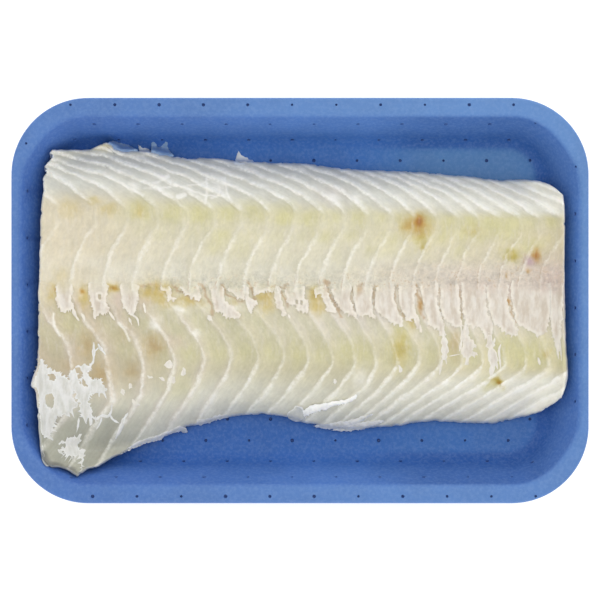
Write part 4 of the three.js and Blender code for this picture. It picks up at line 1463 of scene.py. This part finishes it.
def film_mesh(outline, holes, lift):
    """A thin closed slab within an outline. It lies on the fillet, and its rim is rounded."""
    loops = [outline] + holes
    low, high = outline.min(axis=0), outline.max(axis=0)
    columns, rows = np.meshgrid(*(np.arange(a, b, FILM_PITCH) for a, b in zip(low, high)))
    jitter = [FILM_JITTER * FILM_PITCH * noise(columns * 3.7, rows * 3.7, seed) for seed in (81, 82)]
    inner = np.column_stack([(columns + jitter[0]).ravel(), (rows + jitter[1]).ravel()])
    inner = inner[film_depth(inner, loops) > FILM_INNER_DEPTH]
    points = [Vector(point) for point in np.vstack(loops + [inner])]
    edges, start = [], 0
    for loop in loops:
        edges += [(start + i, start + (i + 1) % len(loop)) for i in range(len(loop))]
        start += len(loop)
    found, _, triangles, *_ = delaunay_2d_cdt(points, edges, [], 0, 1e-5)
    flat = np.array([tuple(point) for point in found])
    triangles = np.array(triangles)
    triangles = triangles[film_depth(flat[triangles].mean(axis=1), loops) > 0]
    used, triangles = np.unique(triangles, return_inverse=True)
    flat, triangles = flat[used], triangles.reshape(-1, 3)

    depth = np.maximum(film_depth(flat, loops), 0)
    top, bottom, values = film_heights(*flat.T, depth, lift)
    vertices = np.vstack([np.column_stack([flat, top]), np.column_stack([flat, bottom])])
    count = len(flat)
    sides = set()
    for a, b, c in triangles.tolist():
        sides |= {(a, b), (b, c), (c, a)}
    faces = triangles.tolist() + (triangles[:, ::-1] + count).tolist()
    faces += [[a + count, b + count, b, a] for a, b in sides if (b, a) not in sides]
    return vertices, faces, {name: np.concatenate([value, value]) for name, value in values.items()}


def film_depth(points, loops):
    """How far points lie inside the first loop and outside the others."""
    x, y = points.T
    depth = inside_by(x, y, loops[0].tolist())
    for loop in loops[1:]:
        depth = np.minimum(depth, -inside_by(x, y, loop.tolist()))
    return depth


def film_heights(x, y, depth, lift):
    """Top and bottom of a film, and what its shader needs to know of each point. It has the looks of
    the back half's flesh where it comes out of the seam."""
    inside = inside_by(x, y, FILLET_OUTLINE)
    face, step, *flesh = upper_face(x, y, np.maximum(inside, 0))
    tray = skin_height(x, y) + FILM_OFF_TRAY
    tucked = lift < TUCKED_BELOW
    reach = STIFF_REACH if tucked or lift > STIFF_ABOVE else LIMP_REACH
    resting = ramp(inside, *reach)
    below_seam = seam_line(x) - y
    rooted = TUCKED_BELOW < lift < ROOTED_BELOW
    raised = lift * (ramp(below_seam, 0, 2.5) if rooted else 1)
    top = lerp(tray, face + raised, resting)
    top -= RIM_DROP * fade(depth, 0, RIM_WIDTH) + TUCK_DEPTH * ramp(inside, -0.2, 0.6) * tucked
    top += FILM_RIPPLE * noise(x / 0.8, y / 2.5, 91) * ramp(below_seam, 0, 1.5)
    top += lerp(0.04, -0.5, ramp(-below_seam, 1, 1.5)) * ramp(-below_seam, -1, 0) * rooted
    bottom = np.minimum(lerp(tray, face - step, resting) - FILM_SUNK, top - FILM_THICKNESS)
    above = seam_line(x) + 1.2
    across = place_across(x, above)
    tint = flesh_tint(x, above, across, flake_count(x, above, across))
    root = fade(below_seam, -0.5, 5 + 2 * noise(x / 1.5, y / 1.5, 96)) * rooted
    return top, bottom, {"rim": depth, "root": root, "tint": pigment(tint)} | skin_values(x, y, *flesh)


def add_films(name, outlines, material, lift, holes=()):
    """One piece made of a slab for each outline."""
    vertices, faces, attributes, start = [], [], [], 0
    for outline in outlines:
        within = outline.tolist()
        own = [hole for hole in holes if inside_by(*hole.mean(axis=0)[:, None], within)[0] > 0]
        points, sides, values = film_mesh(outline, own, lift)
        vertices.append(points)
        faces += shifted(sides, start)
        attributes.append(values)
        start += len(points)
    joined = {key: np.concatenate([values[key] for values in attributes]) for key in attributes[0]}
    piece = make_piece(name, np.vstack(vertices), faces, material, joined)
    piece.data.set_sharp_from_angle(angle=math.radians(FILM_SHARP_ANGLE))
    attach(piece, "root")


def foam_material():
    shader = shader_of("blue_foam")
    place = shader.place()
    mottle = shader.noise(place, *MOTTLE_NOISE)
    grain = shader.noise(place, *GRAIN_NOISE)
    beads = shader.node("TexVoronoi", {"Vector": place, "Scale": BEAD_SCALE}, "Distance")
    dents = shader.noise(place, *DENT_NOISE)
    recess = shader.attribute("recess")
    along, across = shader.part(place, "X"), shader.part(place, "Y")
    tail = shader.ramp(along, *TAIL_X)
    floor_sheen_mask = shader.times(tail, shader.ramp(across, *BACK_Y, 0.25, 1))
    walls = shader.times(shader.ramp(recess, *TOP_OF_WALL), shader.fade(recess, *ON_FLOOR))
    tail_wall_shade_mask = shader.times(tail, walls, shader.ramp(along, *END_WALL_AT, 1, 0.35))

    # Painted shade: darker colour on the walls, darker still at their foot and on the floor
    colour = shader.mix(shader.ramp(recess, *BELOW_RIM), solid(FOAM_BLUE), solid(FOAM_WALL_SHADE))
    colour = shader.mix(shader.ramp(recess, *LOWER_WALL), colour, solid(FOAM_FOOT_SHADE))
    # Painted sheen on the floor at the back of the tail end, over the painted shade of the floor
    floor = shader.mix(floor_sheen_mask, solid(FOAM_FLOOR_SHADE), solid(FOAM_FLOOR_SHEEN))
    colour = shader.mix(shader.ramp(recess, *ON_FLOOR), colour, floor)
    # Painted shade on the walls of the tail end
    colour = shader.mix(tail_wall_shade_mask, colour, TAIL_WALL_PAINTED_SHADE, "MULTIPLY")
    colour = shader.varied(colour, mottle, 0.95, 1.05)
    # Painted shade: the foam darker towards the thick end and towards the front
    colour = shader.mix(shader.fade(along, *THICK_END_X), colour, THICK_END_PAINTED_SHADE, "MULTIPLY")
    colour = shader.mix(shader.fade(across, *FRONT_Y), colour, FRONT_PAINTED_SHADE, "MULTIPLY")
    # Painted shadow in the narrow gap beside the fillet's ends
    colour = shader.mix(shader.times(shader.attribute("gap"), 0.65), colour, solid(FOAM_GAP_SHADOW))
    # Painted shade inside the pin holes
    colour = shader.mix(shader.attribute("pit_shade"), colour, solid(FOAM_PIT_SHADE))
    colour = shader.mix(shader.ramp(grain, 0.35, 0.75, 0, 0.16), colour, solid(FOAM_GRAIN))
    return shader.finish(
        Base_Color=colour,
        Roughness=shader.ramp(mottle, *NOISE_BAND, *FOAM_ROUGHNESS),
        Specular_IOR_Level=FOAM_SHINE,
        Normal=shader.bumps((beads, *BEAD_BUMP), (dents, *DENT_BUMP)),
    )


def flesh_look(shader):
    """Colour and roughness of the flesh, and its bumps: each one's height, distance and strength."""
    place = shader.place()
    width = shader.attribute("flake_width")
    inner = shader.attribute("inner")
    line = shader.attribute("crest")
    near_seam = shader.attribute("near_seam")
    fine = shader.noise(place, *FINE_NOISE)
    wide = shader.noise(place, *WIDE_NOISE)
    ragged = shader.noise(place, *RAGGED_NOISE)
    rough = shader.math("SUBTRACT", ragged, 0.5)
    wander = shader.math("DIVIDE", shader.times(rough, shader.ramp(inner, 0, 1, 1, 2)), width)
    wandered = shader.math("ADD", shader.attribute("flake"), wander)
    part = shader.math("FRACT", wandered)
    right = shader.times(part, width)
    left = shader.math("SUBTRACT", width, right)

    beside = shader.math("MINIMUM", right, shader.times(left, 1.8))
    crest = shader.fade(shader.math("DIVIDE", beside, shader.attribute("reach")), 0.25, 1.4)
    broken = shader.times(
        shader.ramp(shader.noise(place, *BREAK_NOISE), 0.3, 0.55, 0.35, 1),
        shader.ramp(shader.noise(place, *FINE_BREAK_NOISE), 0.35, 0.6, 0.5, 1),
    )
    crest = shader.times(crest, broken, line)
    # Painted shadow: a darker band on the left of each flake line, where the next flake laps over it
    lee_shadow = shader.times(
        shader.fade(left, 0.2, 2.4), shader.ramp(inner, 0, 1, 0.12, 0.05), shader.ramp(line, 0.05, 0.4)
    )
    slit = shader.times(
        shader.ramp(left, 0.1, 0.7, 0.8, 0), shader.ramp(fine, 0.4, 0.55), shader.ramp(near_seam, 0.2, 1)
    )
    specks = shader.times(shader.ramp(ragged, 0.58, 0.66, 0, 0.55), shader.ramp(near_seam, 0.4, 1))
    wrinkles = shader.times(rough, near_seam)
    across = shader.times(shader.attribute("across"), STREAKS_ACROSS)
    grid = shader.node("CombineXYZ", {0: shader.times(wandered, STREAKS_PER_FLAKE), 1: across})
    streaks = shader.noise(grid, *STREAK_NOISE)
    hairs = shader.noise(shader.stretched(grid, ALONG_HAIRS), *HAIR_NOISE)
    blotches = shader.noise(place, *BLOTCH_NOISE)
    fibres = shader.noise(shader.stretched(place, ALONG_FIBRES), *FIBRE_NOISE)

    colour = shader.attribute("tint", "Color")
    fibre_share = shader.times(inner, shader.ramp(fibres, 0.45, 0.72, 0, 0.25))
    colour = shader.mix(fibre_share, colour, solid(TONGUE))
    colour = shader.varied(colour, streaks, 0.955, 1.04)
    colour = shader.varied(colour, hairs, 0.98, 1.02)
    colour = shader.varied(colour, blotches, 0.96, 1.03)
    # Lay the painted shadow beside the flake lines
    colour = shader.mix(lee_shadow, colour, solid(SHADOW), "MULTIPLY")
    # Painted shade across each flake: a little brighter just right of its line, darker towards the next
    brightest = shader.ramp(line, 0.05, 0.5, 1, 1.03)
    colour = shader.scaled(colour, shader.ramp(part, 0, 0.85, brightest, 0.97))
    colour = shader.varied(colour, wide, 0.955, 1.04)
    colour = shader.varied(colour, fine, 0.97, 1.03)
    # Painted shade of the wrinkles by the seam: darker in their hollows, lighter on their tops
    colour = shader.scaled(colour, shader.math("ADD", wrinkles, 1))
    colour = shader.mix(shader.math("MAXIMUM", slit, specks), colour, solid(SLIT_BROWN))
    colour = shader.mix(crest, colour, solid(CREST))
    bumps = [
        (streaks, *STREAK_BUMP), (fibres, *FIBRE_BUMP), (wrinkles, *WRINKLE_BUMP), (fine, *FINE_BUMP),
    ]
    return colour, shader.ramp(wide, *NOISE_BAND, *FLESH_ROUGHNESS), bumps


def wet_surface(shader, colour, roughness, normal, radius, scale):
    """Finishes a surface that is wet and lets a little light in."""
    return shader.finish(
        Base_Color=colour,
        Roughness=roughness,
        Normal=normal,
        Subsurface_Weight=TRANSLUCENCY,
        Subsurface_Radius=radius,
        Subsurface_Scale=scale,
        Coat_Weight=COAT,
        Coat_Roughness=COAT_ROUGHNESS,
    )


def flesh_material():
    shader = shader_of("fish_flesh")
    colour, roughness, bumps = flesh_look(shader)
    return wet_surface(shader, colour, roughness, shader.bumps(*bumps), *FLESH_GLOW)


def film_material(name, middle, shade, rim, rim_width):
    """A film of one colour that fades into another, with a brighter rim, and with the looks of the
    flesh where it comes out of the seam."""
    shader = shader_of(name)
    place = shader.place()
    fine = shader.noise(place, *FINE_NOISE)
    streaks = shader.noise(shader.stretched(place, ALONG_FIBRES), *FILM_STREAK_NOISE)
    colour = shader.mix(shader.ramp(streaks, 0.35, 0.7), solid(middle), solid(shade))
    colour = shader.varied(colour, fine, 0.97, 1.03)
    flesh, roughness, _ = flesh_look(shader)
    colour = shader.mix(shader.attribute("root"), colour, flesh)
    ragged = shader.times(shader.math("SUBTRACT", fine, 0.5), 0.9)
    edge = shader.math("ADD", shader.attribute("rim"), ragged)
    broken = shader.ramp(shader.noise(place, *RIM_BREAK_NOISE), 0.35, 0.6, 0.25, 0.8)
    bright = shader.times(shader.fade(edge, 0.2 * rim_width, rim_width), broken)
    colour = shader.mix(bright, colour, solid(rim))
    normal = shader.bumps((streaks, *FILM_BUMP))
    return wet_surface(shader, colour, roughness, normal, *FILM_GLOW)


def floor_material():
    shader = shader_of("pale_floor")
    speck = shader.noise(shader.place(), *SPECK_NOISE)
    return shader.finish(
        Base_Color=shader.mix(speck, solid(FLOOR_WHITE), solid(FLOOR_SPECK)),
        Roughness=FLOOR_ROUGHNESS,
        Emission_Color=WHITE,
        Emission_Strength=STAGE_GLOW,
    )


def add_floor():
    corners = [(-1, -1), (1, -1), (1, 1), (-1, 1)]
    vertices = [(x * STAGE_HALF, y * STAGE_HALF, STAGE_Z) for x, y in corners]
    make_piece("floor", vertices, [[0, 1, 2, 3]], floor_material())


def add_light(name, place, size, power):
    light = bpy.data.lights.new(name, "AREA")
    light.shape = "SQUARE"
    light.size = size
    light.energy = power
    lamp = bpy.data.objects.new(name, light)
    lamp.location = place
    lamp.rotation_euler = (-Vector(place)).to_track_quat("-Z", "Y").to_euler()
    bpy.context.scene.collection.objects.link(lamp)


def add_world():
    """Soft light from all round, brightest low down and beside the tray's long sides."""
    world = bpy.data.worlds.new("studio")
    sky = Shader(world)
    direction = sky.node("TexCoord", {}, "Generated")
    height = sky.ramp(sky.part(direction, "Z"), 0, ZENITH_FROM, HORIZON_LIGHT, ZENITH_LIGHT, "LINEAR")
    sideways = sky.math("ABSOLUTE", sky.part(direction, "Y"))
    share = sky.ramp(sideways, 0, 1, END_LIGHT, SIDE_LIGHT, "LINEAR")
    background = sky.nodes["Background"]
    sky.put(background.inputs["Color"], WHITE)
    sky.put(background.inputs["Strength"], sky.times(height, share))
    bpy.context.scene.world = world


def add_lights():
    for name, (place, size, power) in LAMPS.items():
        add_light(name, place, size, power)
    add_world()
    bpy.context.scene.view_settings.view_transform = "Standard"


def add_camera():
    camera = bpy.data.cameras.new("camera")
    camera.sensor_width = SENSOR_WIDTH
    camera.lens = SENSOR_WIDTH * (CAMERA_HEIGHT - TRAY_HEIGHT * MM) / (PICTURE_WIDTH_AT_RIM * MM)
    camera.clip_start = CAMERA_CLIP
    rig = bpy.data.objects.new("camera", camera)
    rig.location = (0, CAMERA_Y, CAMERA_HEIGHT)
    bpy.context.scene.collection.objects.link(rig)
    bpy.context.scene.camera = rig


def add_tray():
    foam = foam_material()
    tray = tray_body(foam)
    pierce(tray, foam)
    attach(tray, "root")
    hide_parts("tray")


def add_fillet():
    fillet = fillet_body(flesh_material())
    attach(fillet, "root")
    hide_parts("fillet")


def torn(outlines, amount, teeth, seed):
    return [torn_outline(outline, amount, teeth, seed + i) for i, outline in enumerate(outlines)]


def ribbons(strands, seed):
    return [ribbon(points, width, seed + i) for i, (points, width) in enumerate(strands)]


def add_tongues():
    film = film_material("torn_film", TONGUE, TONGUE_SHADE, TONGUE_RIM, TONGUE_RIM_WIDTH)
    holes = torn(TONGUE_HOLES, *TONGUE_HOLE_TEAR)
    add_films("torn_tongues", torn(TONGUES, *TONGUE_TEAR), film, TONGUE_LIFT, holes)
    film = film_material("strand_film", STRAND, STRAND_SHADE, TONGUE_RIM, STRAND_RIM_WIDTH)
    strands = ribbons(STRANDS, STRAND_SEED) + torn(FLECKS, *FLECK_TEAR)
    add_films("strands", strands, film, STRAND_LIFT)


def add_membranes():
    film = film_material("white_film", MEMBRANE, MEMBRANE_SHADE, MEMBRANE_RIM, MEMBRANE_RIM_WIDTH)
    holes = torn(MEMBRANE_HOLES, *MEMBRANE_HOLE_TEAR)
    add_films("membranes", torn(MEMBRANES, *MEMBRANE_TEAR), film, STRAND_LIFT, holes)
    add_films("threads", ribbons(THREADS, THREAD_SEED), film, THREAD_LIFT)
    add_films("fringes", torn(FRINGES, *FRINGE_TEAR), film, FRINGE_LIFT)
    add_films("lobe_folds", ribbons(LOBE_FOLDS, LOBE_FOLD_SEED), film, LOBE_FOLD_LIFT)


def add_lobe_and_fold():
    film = film_material("lobe_film", LOBE_GREY, MEMBRANE_SHADE, MEMBRANE_RIM, LOBE_RIM_WIDTH)
    add_films("lobe", torn([LOBE], *LOBE_TEAR), film, LOBE_LIFT)
    film = film_material("fold_film", FOLD_WHITE, FOLD_SHADE, FOLD_WHITE, FOLD_RIM_WIDTH)
    add_films("fold", torn([FOLD], *FOLD_TEAR), film, FOLD_LIFT)


def add_scraps():
    amount, teeth, seed = SCRAP_TEAR
    for number, (outline, clearness) in enumerate(SCRAPS):
        middle = [lerp(a, b, clearness) for a, b in zip(MEMBRANE, CLEAR_FILM)]
        rim = [lerp(a, b, clearness) for a, b in zip(MEMBRANE_RIM, CLEAR_RIM)]
        film = film_material(f"clear_film_{number}", middle, middle, rim, SCRAP_RIM_WIDTH)
        lift = CLEAR_SCRAP_LIFT if clearness > 0.5 else WHITE_SCRAP_LIFT
        add_films(f"edge_scrap_{number}", torn([outline], amount, teeth, seed + number), film, lift)


add_camera()
add_lights()
add_floor()
add_tray()
add_fillet()
add_tongues()
add_membranes()
add_lobe_and_fold()
add_scraps()
